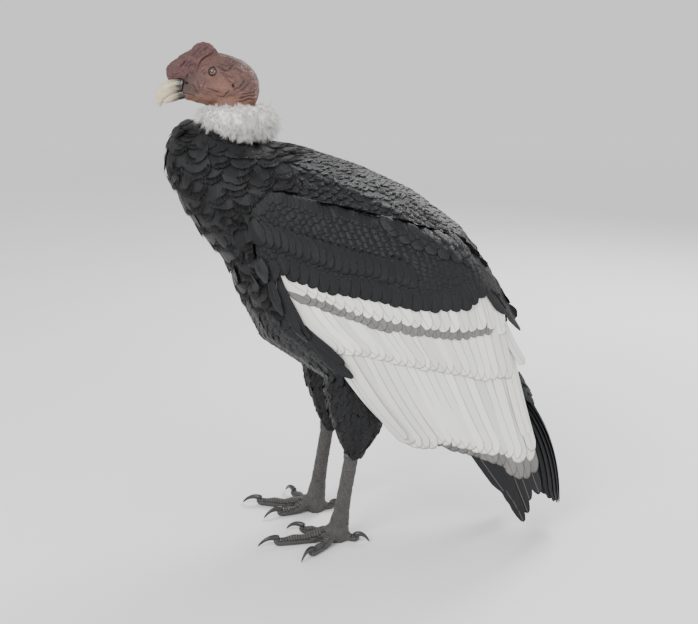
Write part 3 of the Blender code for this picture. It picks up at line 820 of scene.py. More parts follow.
def skin_material():
    """Mottled skin, paler on the wrinkles between its creases, and pebbled all over.

    Creases are darkened with painted shade; the insides of nostril and ear are painted near-black as shade.
    """
    made = Shader(
        "bare_skin", Roughness=0.55,
        Subsurface_Weight=0.06, Subsurface_Radius=(0.004, 0.0015, 0.001), Subsurface_Scale=0.5,
    )
    place = made.place()
    tint = made.mark("tint", "Color")
    crease = made.mark("crease")
    grain = made.noise(place, 420.0, 6.0)
    cells = made.add("TexVoronoi", {"Vector": place, "Scale": 900.0}, feature="DISTANCE_TO_EDGE")
    shades = [made.add("VectorMath", {0: tint, "Scale": share}, operation="SCALE") for share in (0.50, 1.35)]
    dark, pale = (shade.outputs[0] for shade in shades)
    mottled = made.blend(made.span(grain, 0.35, 0.68), dark, tint)
    mottled = made.blend(made.span(grain, 0.3, 0.7, 0.35, 1.0), mottled, tint)
    raised = made.blend(made.span(made.mark("wrinkle"), 0.75, 1.0, 0.0, 0.55), mottled, pale)
    # painted shade: darker in the creases, near-black inside the nostril and ear
    crease_shaded = made.blend(made.span(crease, 0.05, 0.9), raised, dark)
    crease_shaded = made.blend(made.span(crease, 1.05, 1.5), crease_shaded, (0.004, 0.003, 0.003))
    pebbles = made.span(cells.outputs["Distance"], 0.0, 0.25)
    height = made.math("ADD", pebbles, made.math("MULTIPLY", grain, 1.2))
    return made.finish(crease_shaded, made.span(grain, 0.3, 0.7, 0.42, 0.68), height, 0.55, 0.00045)


class CONDOR_OT_skin(bpy.types.Operator):
    """One skin over all the flesh, with folds, comb, lids and nostrils"""

    bl_idname = "condor.skin"
    bl_label = "Skin"

    def execute(self, context):
        settings = context.scene.condor
        skin = fused_skin(settings.coat_depth)
        low, high = HIDDEN_SKIN
        thin_where(skin, lambda points: (points[:, 2] > low) & (points[:, 2] < high), BODY_TRIANGLES)
        thin_where(skin, lambda points: points[:, 2] < LEG_TOP, LEG_TRIANGLES)
        split_faces(skin, lambda centres: centres[:, 2] > BARE_HEAD)
        relax(skin, lambda points: points[:, 2] > BARE_HEAD - 0.004, 4)
        split_faces(skin, lambda centres: near_eyes(centres, NEAR_EYE))
        relax(skin, lambda points: near_eyes(points, NEAR_EYE), 2)
        comb = Surface.of_node("comb")
        sculpt_head(skin, comb)
        colours = skin_colours(coordinates(skin), settings, comb)
        add_numbers(skin, "tint", np.c_[colours, np.ones(len(colours))], "FLOAT_COLOR")
        skin.data.shade_smooth()
        finished(skin, skin_material(), "head_skin")
        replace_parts(skin, "head", "comb", "neck", "trunk", *both("thigh"), *both("tarsus"))
        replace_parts(skin, *[f"toe_{toe}_{side}" for toe in TOES for side in SIDES])
        return {"FINISHED"}


# --- eyes, bill and claws ---------------------------------------------------------

CORNEA_HEIGHT = 0.0009
CORNEA_ANGLE = 0.62  # radians from the eye's axis
IRIS_STREAKS = 14


def eye_material(iris):
    """A wet eye: a black pupil, a streaked iris and a dark ring round it."""
    made = Shader("eye", Roughness=0.08, Coat_Weight=1.0, Coat_Roughness=0.02)
    gaze = made.mark("gaze")
    streaks = made.span(made.noise(made.mark("rays", "Vector"), 1.0, 3.0), 0.35, 0.65)
    streaked = made.blend(streaks, iris * 0.55, np.minimum(iris * 1.5, 1.0))
    ringed = made.blend(made.span(gaze, 0.58, 0.72), streaked, (0.02, 0.012, 0.010))
    return made.finish(made.blend(made.span(gaze, 0.32, 0.35), (0.001, 0.001, 0.001), ringed))


class CONDOR_OT_eyes(bpy.types.Operator):
    """Two brown eyes with pupils, set behind the lids"""

    bl_idname = "condor.eyes"
    bl_label = "Eyes"

    def execute(self, context):
        look = eye_material(np.array(context.scene.condor.iris))
        for name, side in SIDES.items():
            centre = Vector((EYE.x, side * abs(EYE.y), EYE.z))
            bpy.ops.object.select_all(action="DESELECT")
            bpy.ops.mesh.primitive_uv_sphere_add(
                segments=64, ring_count=48, radius=EYE_RADIUS, location=centre
            )
            eye = context.object
            bpy.ops.object.transform_apply()
            eye.name = f"eyeball_{name}"
            points = coordinates(eye)
            axis = eye_axis(side)
            offset = points - np.array(centre)
            outward = offset @ axis
            flat = offset - outward[:, None] * axis
            angle = np.arctan2(np.linalg.norm(flat, axis=1), outward)
            bulge = CORNEA_HEIGHT * np.exp(-((angle / CORNEA_ANGLE) ** 2))
            move_to(eye, points + unit(offset) * (bulge - 0.0001)[:, None])
            turn = unit(flat + 1e-9)
            rays = np.c_[turn[:, 0] * IRIS_STREAKS, turn[:, 2] * IRIS_STREAKS, angle * 2]
            add_numbers(eye, "gaze", angle)
            add_numbers(eye, "rays", rays, "FLOAT_VECTOR")
            eye.data.materials.append(look)
            eye.data.shade_smooth()
            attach(eye, "root")
            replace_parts(eye, f"eye_{name}")
        return {"FINISHED"}


BILL_ROOT = EYE.x - 0.0560  # where the horn comes out of the skin
BILL_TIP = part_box("bill_upper")[0].x
GROWTH_RIDGES = 1500  # radians a metre
# The closed edge of the mouth: places along X, and how high it is there
MOUTH_X = np.arange(-372, -318, 6) / 1000
MOUTH_Z = np.array((8123, 8189, 8256, 8290, 8320, 8345, 8365, 8382, 8395)) / 10000


def remeshed(node, name, voxel, rounds, grow):
    """A finely meshed copy of a solid, softened, then swollen or shrunk."""
    made = renamed(copy_of_node(node), name)
    remesh(made, voxel, rounds)
    swell(made, grow)
    made.data.shade_smooth()
    return made


class CONDOR_OT_bill(bpy.types.Operator):
    """The two horns of the bill, closed, worn and streaked"""

    bl_idname = "condor.bill"
    bl_label = "Bill"

    def execute(self, context):
        settings = context.scene.condor
        ivory = np.array(settings.horn)
        root = (mix(BILL_ROOT, BILL_TIP, 0.12), mix(BILL_ROOT, BILL_TIP, 0.58), tuple(settings.horn_base))
        look = worn_material(
            "bill_horn", (ivory * 0.55, ivory, ivory * 1.2), 220.0, (0.34, 0.52), 0.25, 0.0005,
            stretch=(0.3, 1.6, 1.6), root=root, Coat_Weight=0.15,
            Subsurface_Weight=0.04, Subsurface_Scale=0.01,
        )
        for node in ("bill_upper", "bill_lower"):
            horn = remeshed(node, f"{node}_horn", 0.0008, 4, 0.0003)
            points = coordinates(horn)
            above = points[:, 2] - np.interp(points[:, 0], MOUTH_X, MOUTH_Z)
            edge = smooth_step(0.002, 0.010, np.abs(points[:, 1])) * (points[:, 0] > MOUTH_X[0])
            if node == "bill_upper":
                points[:, 2] -= 0.0032 * edge * (1 - smooth_step(0.003, 0.012, above))
            else:
                points[:, 2] += 0.0044 * edge * smooth_step(-0.009, -0.003, above)
                points[:, 1] *= 1 - 0.04 * edge
            forward = BILL_ROOT - points[:, 0]
            growth = np.sin(forward * GROWTH_RIDGES + 2.0 * ripple(points, 0.012, 31))
            growth = growth * smooth_step(0.04, 0.0, forward)
            lift = 0.00009 * growth + 0.00015 * ripple(points, 0.007, 32)
            move_to(horn, points + vertex_normals(horn) * lift[:, None])
            finished(horn, look, "bill_horn", node)
        return {"FINISHED"}


CLAW_RADIUS = 0.0060
CLAW_ROWS = 18
CLAW_CORNERS = 16


def talon(toe, foot):
    """A curved horn that tapers to a blunt tip, through the root, middle and tip of a solid."""
    base, middle, tip, run = claw_line(toe, foot)
    tip = tip * (1, 1, 0) + (0, 0, 0.0016)
    bend = 2 * (middle + (0, 0, 0.001)) - (base + tip) / 2
    part = np.linspace(0, 1, CLAW_ROWS + 1)
    centres = curve(base, bend, tip, part[:, None])
    side = np.cross(run, (0, 0, 1.0))
    high = np.cross(side, unit(np.gradient(centres, axis=0)))
    size = CLAW_RADIUS * (1 - 0.78 * part**1.15) * np.sqrt(np.clip((1.004 - part) / 0.10, 0, 1)) + 0.00002
    size[:2] *= 0.9
    size = size[:, None, None]
    turns = (np.arange(CLAW_CORNERS) * 2 * math.pi / CLAW_CORNERS)[:, None]
    points = (centres[:, None] + side * (np.cos(turns) * size * 0.86)
              + high[:, None] * (np.sin(turns) * size * 1.06))
    row, corner = np.mgrid[:CLAW_ROWS, :CLAW_CORNERS]
    lower = row * CLAW_CORNERS
    upper = lower + CLAW_CORNERS
    after = (corner + 1) % CLAW_CORNERS
    faces = np.stack([lower + corner, lower + after, upper + after, upper + corner], -1).reshape(-1, 4)
    thing = mesh_from(f"claw_{toe}_{foot}_horn", points.reshape(-1, 3), faces)
    close = (bpy.ops.mesh.fill_holes, {"sides": 0})
    edit(thing, close, (bpy.ops.mesh.normals_make_consistent, {"inside": False}))
    thing.data.shade_smooth()
    return thing


class CONDOR_OT_claws(bpy.types.Operator):
    """Eight blunt, dark claws"""

    bl_idname = "condor.claws"
    bl_label = "Claws"

    def execute(self, context):
        black = (0.02, 0.02, 0.02)
        look = worn_material("claw_horn", (black,) * 3, 260.0, (0.30, 0.48), 0.35, 0.0004, Coat_Weight=0.15)
        for toe in TOES:
            for foot in SIDES:
                finished(talon(toe, foot), look, "claw_horn", f"claw_{toe}_{foot}")
        return {"FINISHED"}


# --- feathers: how they are made ----------------------------------------------------


class Vane:
    """Grid of one closed, thin feather: its face, and its back inside the same edge."""

    def __init__(self, rows, columns, crowding=1.4):
        along = 1 - (1 - np.arange(rows + 1) / rows) ** crowding
        across = np.sin(np.linspace(-1, 1, columns + 1) * math.pi / 2)
        row, column = np.meshgrid(np.arange(rows + 1), np.arange(columns + 1), indexing="ij")
        inner = (row % rows > 0) & (column % columns > 0)
        self.rows = rows
        self.columns = columns
        self.row = np.r_[row.ravel(), row[inner]]
        self.column = np.r_[column.ravel(), column[inner]]
        self.layer = np.r_[inner.ravel().astype(int), np.full(inner.sum(), -1)]
        self.stations = along
        self.t = along[self.row]
        self.s = across[self.column]
        face = np.arange(row.size).reshape(row.shape)
        back = face.copy()
        back[inner] = row.size + np.arange(inner.sum())

        def quads(grid):
            return np.stack([grid[:-1, :-1], grid[:-1, 1:], grid[1:, 1:], grid[1:, :-1]], -1).reshape(-1, 4)

        self.faces = np.r_[quads(face), quads(back)[:, ::-1]]


SMALL_VANE = Vane(6, 6)
LONG_VANE = Vane(20, 8, 1.25)
PATH_POINTS = 5  # that a feather is drawn through


def petal(t):
    """Half width of a body feather along its length."""
    return 0.30 + 0.70 * math.sin(min(t / 0.6, 1) * math.pi / 2)


def strap(t):
    """Half width of a long wing feather along its length."""
    return 0.30 + 0.70 * math.sin(min(t / 0.3, 1) * math.pi / 2) - 0.12 * t * t


class Plumage:
    """Collects feathers, each five points and the way up at them, and builds them as one mesh."""

    def __init__(self, name, seed, vane=SMALL_VANE):
        self.name = name
        self.vane = vane
        self.chance = np.random.default_rng(seed)
        self.feathers = []

    def add(self, path, width, roll=0.0):
        if path is not None:
            self.feathers.append((*path, width, roll))

    def build(self, outline, blunt, camber, thick, fray, material, slot, patch=0.003):
        """outline gives the half width at a share of the length; blunt rounds the end."""
        vane = self.vane
        count = len(self.feathers)
        paths, ups, widths, rolls = (np.array(part) for part in zip(*self.feathers))
        widths, rolls = widths[:, None], rolls[:, None]
        given = np.vander(np.linspace(0, 1, PATH_POINTS), 4, increasing=True)
        fit = np.vander(vane.stations, 4, increasing=True) @ np.linalg.pinv(given)
        centres = np.einsum("rk,fkx->frx", fit, paths)
        ups = unit(np.einsum("rk,fkx->frx", fit, ups))
        ahead = unit(np.gradient(centres, axis=1))
        ups = unit(ups - ahead * (ups * ahead).sum(-1, keepdims=True))
        lengths = np.linalg.norm(np.diff(centres, axis=1), axis=-1).sum(1)[:, None]
        notches = self.chance.normal(0, fray, (count, vane.rows + 1, 2)).clip(-2.5 * fray, fray)
        tips = self.chance.normal(0, fray, (count, vane.columns + 1))
        row, column, t, s = vane.row, vane.column, vane.t, vane.s
        edge = np.abs(s)
        half = widths * np.array([outline(part) for part in vane.stations])[row]
        half = half * (1 + np.where(s < 0, notches[:, row, 0], notches[:, row, 1]) * edge**3)
        reach = lengths * (1 - blunt * edge**2.4 * t**3) - tips[:, column] * widths * 2.5 * t**3
        step = t * (reach - lengths)
        rise = rolls * -s * widths - camber * widths * s**2 * (0.35 + 0.65 * t)
        rise = rise + thick * (0.25 + 0.75 * (1 - edge) ** 1.5) * (0.6 - 0.4 * t) * vane.layer
        across = np.cross(ahead, ups)[:, row] * (half * s)[..., None]
        points = centres[:, row] + ahead[:, row] * step[..., None] + across + ups[:, row] * rise[..., None]
        faces = vane.faces[None] + (np.arange(count) * len(row))[:, None, None]
        thing = mesh_from(self.name, points.reshape(-1, 3), faces.reshape(-1, 4))
        along = t * reach
        inward = np.maximum(np.minimum(half * (1 - edge), reach - along), 0)
        add_numbers(thing, "vane", np.stack([half * s, along, inward], -1), "FLOAT_VECTOR")
        add_numbers(thing, "tone", np.repeat(self.chance.uniform(0, 1, count), len(row)))
        corner = vane.faces.ravel()
        local = np.stack([s[corner] * 0.5, t[corner] - 0.5], -1) * patch
        add_bake_map(thing, unwrapped(centres[:, 0])[:, None] + local)
        return finished(thing, material, slot)


def finished(thing, material, slot, *nodes):
    thing.data.materials.append(material)
    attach(thing, "root")
    if nodes:
        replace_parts(thing, *nodes)
    return thing


def unwrapped(points):
    """Where points lie on the body unrolled about its length: round it across, down it along."""
    start = NECK + (-0.05, 0.0, 0.12)
    axis = np.array((TAIL_HIGH.x + 0.02, 0.0, -0.05)) - start
    length = np.linalg.norm(axis)
    axis /= length
    offset = points - start
    turn = np.arctan2(offset[:, 1], offset @ np.cross(axis, (0.0, 1.0, 0.0)))
    return np.stack([0.5 + 0.47 * turn / math.pi, 0.03 + 0.94 * (offset @ axis) / length], -1)


SHARP_EDGE = 0.45  # a feather doesn't follow a surface that has turned further than this cosine


def traced(surface, root, heading, length, low, high, loose=0.03):
    """Five points along a surface from a root, rising from low to high, straight on past a sharp edge.

    None where the tip would stand further off the surface than loose.
    """
    if root is None:
        return None
    place, normal = surface.nearest(root)
    first = normal
    points = []
    normals = []
    for part in np.linspace(0, 1, PATH_POINTS):
        heading = unit(heading - normal * (heading @ normal))
        points.append(place + normal * mix(low, high, part))
        normals.append(normal)
        place = place + heading * length / (PATH_POINTS - 1)
        below, found = surface.nearest(place)
        if found @ first > SHARP_EDGE:
            place, normal = below, unit(mix(normal, found, 0.6))
    if surface.gap(points[-1]) > loose:
        return None
    return np.array(points), np.array(normals)


def seen_path(surface, root, tip, bow, side, low, high):
    """A feather's path drawn from the side, from root to tip and bowed ahead, laid on the surface."""
    root, tip = np.asarray(root), np.asarray(tip)
    middle = mix(root, tip, 0.5) - np.array((bow, bow * 0.6)) * np.linalg.norm(tip - root)
    shares = np.linspace(0, 1, 2 * PATH_POINTS - 1)[:, None]
    line = curve(root, middle, tip, shares)
    seen = []
    for share, (aft, z) in zip(shares[:, 0], line):
        place, normal = surface.from_side(WRIST_X + aft, z, side)
        if place is not None:
            seen.append((share, place[1], normal))
    if len(seen) < 4:
        return None
    share, y, normal = (np.array(part) for part in zip(*seen))
    span = share[-1] - share[0]
    degree = 2 if span > 0.7 else 1
    sideways = np.polyval(np.polyfit(share, y, degree), shares[::2, 0])
    slope = np.polyfit(share, normal, degree - 1)[::-1]
    within = np.clip(shares[::2], share[0], share[-1])
    normals = sum(part * within**power for power, part in enumerate(slope))
    normals = unit(normals + (0, side * 0.6 * (1 - smooth_step(0.4, 0.95, span)), 0))
    base = np.stack([WRIST_X + line[::2, 0], sideways, line[::2, 1]], -1)
    return base + normals * mix(low, high, shares[::2]), normals


# --- where the coat goes --------------------------------------------------------------


def smoothed_form(nodes):
    """The rounded outer form of some solids, as a surface with its points and normals."""
    form = joined("form", [copy_of_node(node, 0.0006) for node in nodes])
    remesh(form, 0.004, 6)
    surface = Surface(form)
    bpy.data.objects.remove(form)
    return surface


def wing_form(name):
    return smoothed_form([f"{row}_{name}" for row in WING_ROWS])


def spread(points, spacing, seed):
    """Indices of points picked at random so that no two are closer than the spacing."""
    chance = np.random.default_rng(seed)
    taken = {}
    picked = []
    for index in chance.permutation(len(points)):
        place = points[index]
        cell = tuple((place // spacing).astype(int))
        near = [taken.get((cell[0] + i, cell[1] + j, cell[2] + k), ())
                for i in (-1, 0, 1) for j in (-1, 0, 1) for k in (-1, 0, 1)]
        if all(((points[other] - place) ** 2).sum() > spacing**2 for group in near for other in group):
            taken.setdefault(cell, []).append(index)
            picked.append(index)
    return picked


RING_AXIS = (0.62, 0.0, -0.78)  # that the rings of feathers turn about
RING_DEPTH = 0.0045
RING_BINS = 19  # for each radian


def rings(surface, radii, gap, seed):
    """Places in staggered rings round the neck, where spheres of the given radii cut the body."""
    chance = np.random.default_rng(seed)
    first = np.cross(unit(np.array(RING_AXIS)), (0.0, 1.0, 0.0))
    offset = surface.points - NECK
    distance = np.linalg.norm(offset, axis=1)
    turn = np.arctan2(offset[:, 1], offset @ first)
    places = []
    for index, radius in enumerate(radii):
        near = np.flatnonzero(np.abs(distance - radius) < RING_DEPTH)
        bins = ((turn[near] + math.pi) * RING_BINS).astype(int)
        loop = np.array([surface.points[near[bins == b]].mean(0) for b in np.unique(bins)])
        if len(loop) < 8:
            continue
        loop = np.r_[loop, loop[:1]]
        count = max(int(np.linalg.norm(np.diff(loop, axis=0), axis=1).sum() / gap), 3)
        shares = (np.arange(count) + 0.5 * (index % 2) + chance.uniform(-0.12, 0.12, count)) / count
        places.extend(along_line(loop, shares % 1.0) + chance.normal(0, gap * 0.06, (count, 3)))
    return places


def is_breast(place):
    return place[0] - WRIST_X + 0.25 * max(0.0, 0.60 - place[2]) < 0.056 and place[2] > 0.515


def on_tail(place):
    """Past the coverts at the root of the tail."""
    return place[0] > 0.20 and place[2] < TAIL_HIGH.z - 0.055 + 0.9 * abs(place[1])


# Rings of feathers round the neck: their radii, and the gap along a ring
CHEST_RINGS = (np.arange(0.034, 0.094, 0.0115), 0.0180)
BREAST_RINGS = (np.arange(0.102, 0.42, 0.0225), 0.033)
BACK_RINGS = (np.arange(0.026, 0.86, 0.0112), 0.0118)
BELLY_GAP = 0.0118
# Half widths
BREAST_WIDTH = 0.0265
BACK_WIDTH = 0.0098
BELLY_WIDTH = 0.0112
BARB_WIDTH = 0.0009
# How near another part, a wing, or a wing that shades it, a place is hidden
PART_GAP = 0.0015
WING_GAP = 0.003
WING_SHADE = 0.014


class CONDOR_OT_body_feathers(bpy.types.Operator):
    """Black contour feathers of the breast, back, belly and flanks, in staggered rows from the neck"""

    bl_idname = "condor.body_feathers"
    bl_label = "Body Feathers"

    def execute(self, context):
        settings = context.scene.condor
        form = smoothed_form(["trunk", "tail"] + both("thigh"))
        wings = [wing_form(name) for name in SIDES]
        others = [Surface.of_node(node) for node in ("ruff", *both("thigh"), *both("tarsus"))]
        trunk = Surface.of_node("trunk")
        breast = Plumage("feathers_breast", 1, Vane(7, 12))
        fringe = Plumage("feathers_breast_fringe", 2, Vane(2, 2))
        back = Plumage("feathers_back", 3)
        belly = Plumage("feathers_belly", 4)
        chance = breast.chance

        def covered(place, normal):
            """Whether a wing or another part hides this place."""
            if min(other.gap(place) for other in others) < PART_GAP:
                return True
            if min(wing.gap(place) for wing in wings) < WING_GAP:
                return True
            return any(wing.hit(place + normal * 0.002, normal, WING_SHADE) for wing in wings)

        for place in rings(form, *CHEST_RINGS, 5) + rings(form, *BREAST_RINGS, 5):
            place, normal = form.nearest(place)
            if not is_breast(place) or covered(place, normal):
                continue
            heading = place - NECK + (0.02, 0, -0.10) + chance.normal(0, 0.012, 3)
            size = mix(0.55, 1.0, smooth_step(0.065, 0.13, np.linalg.norm(place - NECK)))
            length = settings.breast_feather * size * chance.uniform(0.92, 1.08)
            path = traced(form, place, heading, length, -0.003 * size, 0.0030 * size)
            width = BREAST_WIDTH * size * chance.uniform(0.9, 1.1)
            breast.add(path, width, chance.normal(0, 0.03))
            self.fray(fringe, path, width, length, chance)
        for place in rings(form, *BACK_RINGS, 6):
            place, normal = form.nearest(place)
            if is_breast(place) or normal[2] < -0.05 or on_tail(place) or covered(place, normal):
                continue
            heading = place - NECK + chance.normal(0, 0.02, 3)
            rump = smooth_step(0.44, 0.32, place[2]) * smooth_step(0.12, 0.20, place[0])
            size = settings.body_feather * chance.uniform(0.85, 1.12) * (1 + 1.0 * rump)
            width = BACK_WIDTH * chance.uniform(0.9, 1.12) * (1 + 0.35 * rump)
            path = traced(form, place, heading, size, -0.0018, 0.0020 + 0.0015 * rump, 0.007)
            back.add(path, width, chance.normal(0, 0.05))
        for index in spread(form.points, BELLY_GAP, 7):
            place, normal = form.nearest(form.points[index])
            vent = on_tail(place)
            if is_breast(place) or normal[2] > 0.25 * vent or covered(place, normal):
                continue
            if vent and trunk.gap(place) > 0.005:
                continue
            heading = place - NECK + (0.0, 0.0, -0.15) + chance.normal(0, 0.03, 3)
            size = settings.body_feather * chance.uniform(0.9, 1.2)
            path = traced(form, place, heading, size, -0.0018, 0.0022, 0.030 if vent else 0.007)
            belly.add(path, BELLY_WIDTH * chance.uniform(0.9, 1.1), chance.normal(0, 0.06))
        soft = feather_look("breast")
        black = feather_look("body")
        breast.build(petal, 0.30, 0.12, 0.0006, 0.022, soft, "plumage_black")
        fringe.build(lambda t: 1.0 - 0.8 * t, 0.3, 0.1, 0.0004, 0.02, soft, "plumage_black")
        back.build(petal, 0.36, 0.14, 0.0005, 0.020, black, "plumage_black")
        belly.build(petal, 0.36, 0.14, 0.0005, 0.030, black, "plumage_black")
        return {"FINISHED"}

    def fray(self, fringe, path, width, length, chance):
        """Loose barbs that start on a feather near its end and run past its edge."""
        tip, normal = path[0][4], path[1][4]
        ahead = unit(tip - path[0][3])
        across = np.cross(ahead, normal)
        count = int(width * 1250)
        for share in np.linspace(-0.9, 0.9, count) + chance.normal(0, 0.015, count):
            drop = 0.12 * width * share**2
            root = tip + across * share * width - ahead * (0.5 * width + length * 0.30 * abs(share) ** 2.4)
            fan = unit(ahead + across * (share * 0.55 + chance.normal(0, 0.07)))
            steps = np.linspace(0, 1, PATH_POINTS)[:, None]
            barb = root + fan * steps * width * chance.uniform(0.58, 0.82)
            barb = barb + normal * (0.0004 - drop - 0.0012 * steps**2 + 0.0008 * np.sin(math.pi * steps))
            fringe.add((barb, np.repeat([normal], PATH_POINTS, 0)), BARB_WIDTH)


# --- wings ------------------------------------------------------------------------------


def wing_line(*numbers):
    """Points on the folded wing from millimetres aft of the wrist and above the floor, in turn."""
    return np.reshape(numbers, (-1, 2)) / 1000


WING_TOP = wing_line(12, 668, 30, 682, 60, 684, 85, 679, 119, 668, 156, 655, 193, 643, 223, 635, 260, 632,
                     294, 625, 325, 611, 352, 592, 382, 566, 406, 544, 430, 514, 445, 490)
BLACK_EDGE = wing_line(30, 528, 63, 541, 125, 515, 189, 505, 254, 487, 310, 475, 374, 471, 401, 485, 425, 493)
COMB_TIPS = wing_line(28, 594, 56, 589, 84, 576, 118, 564, 148, 553, 176, 546, 210, 542, 238, 531, 258, 529,
                      283, 521)
COMB_ROOTS = wing_line(6, 640, 37, 632, 68, 622, 100, 612, 129, 602, 157, 594, 193, 584, 224, 579, 245, 574,
                       266, 564)
SCALES_TOP = wing_line(232, 630, 270, 628, 300, 620, 330, 604, 352, 588, 376, 566)
SCALES_BOTTOM = wing_line(248, 604, 284, 582, 312, 572, 345, 558, 372, 550, 395, 536)
SECOND_ROOTS = wing_line(52, 545, 125, 525, 254, 500, 374, 480, 432, 485)
# Rows of long feathers: name, count, bow, heights of root and tip over the form, half width, kind,
# how blunt the tips are, then lines of roots and of tips
LONG_ROWS = [
    ("white_first", 22, 0.14, -0.0040, -0.0006, 0.0150, "white", 0.16,
     wing_line(48, 560, 125, 545, 254, 515, 374, 500, 425, 510),
     wing_line(98, 515, 131, 501, 182, 478, 230, 467, 282, 452, 353, 435, 396, 434, 439, 428)),
    ("grey_tips", 25, 0.12, -0.0050, -0.0016, 0.0120, "grey", 0.16,
     SECOND_ROOTS,
     wing_line(103, 500, 149, 481, 193, 462, 227, 446, 270, 437, 315, 428, 370, 419, 415, 423)),
    ("white_second", 24, 0.16, -0.0062, -0.0026, 0.0160, "white", 0.12,
     SECOND_ROOTS,
     wing_line(150, 409, 179, 404, 217, 398, 257, 384, 292, 375, 324, 368, 379, 352, 420, 339, 458, 339)),
    ("secondaries_white", 18, 0.07, -0.0080, -0.0042, 0.0185, "white", 0.07,
     wing_line(128, 455, 200, 440, 300, 410, 400, 390, 452, 395),
     wing_line(272, 227, 287, 217, 305, 208, 326, 208, 340, 218, 358, 214, 382, 206, 402, 200, 422, 190, 443,
               189, 459, 184, 475, 176, 492, 169, 509, 167)),
    ("secondaries_dark", 14, 0.05, -0.0096, -0.0056, 0.0150, "grey", 0.08,
     wing_line(220, 430, 300, 410, 400, 390, 452, 395),
     wing_line(340, 212, 358, 204, 382, 192, 410, 182, 428, 171, 457, 163, 480, 138, 496, 131, 511, 132, 520,
               138)),
    ("primaries_black", 7, 0.03, -0.0125, -0.0088, 0.0135, "primary", 0.10,
     wing_line(330, 330, 450, 330),
     wing_line(459, 106, 476, 87, 503, 36, 511, 60, 516, 97, 531, 96)),
]
# Single feathers: aft and height of the root, then of the tip, in millimetres, bow, and half width
FRONT_EDGE = [
    (36, 545, 59, 474, 0.1, 0.009), (50, 545, 105, 431, 0.14, 0.012), (64, 500, 100, 427, 0.16, 0.009),
    (92, 455, 162, 387, 0.12, 0.012), (112, 425, 177, 361, 0.1, 0.012), (412, 536, 480, 414, 0.05, 0.0115),
    (400, 525, 448, 452, 0.06, 0.01),
]
REAR_WHITE = [
    (425, 500, 444, 420, 0.06, 0.012), (440, 460, 488, 357, 0.06, 0.011), (444, 440, 500, 215, 0.04, 0.013),
    (452, 430, 512, 188, 0.03, 0.012),
]


COVERT_ROWS = 16  # of small coverts, down the wing
COVERT_PLACES = 38  # along a row
SCALE_ROWS = 5
INNER_BOTTOM = 0.453  # lowest root of a covert on the inner side of the wing's thin end


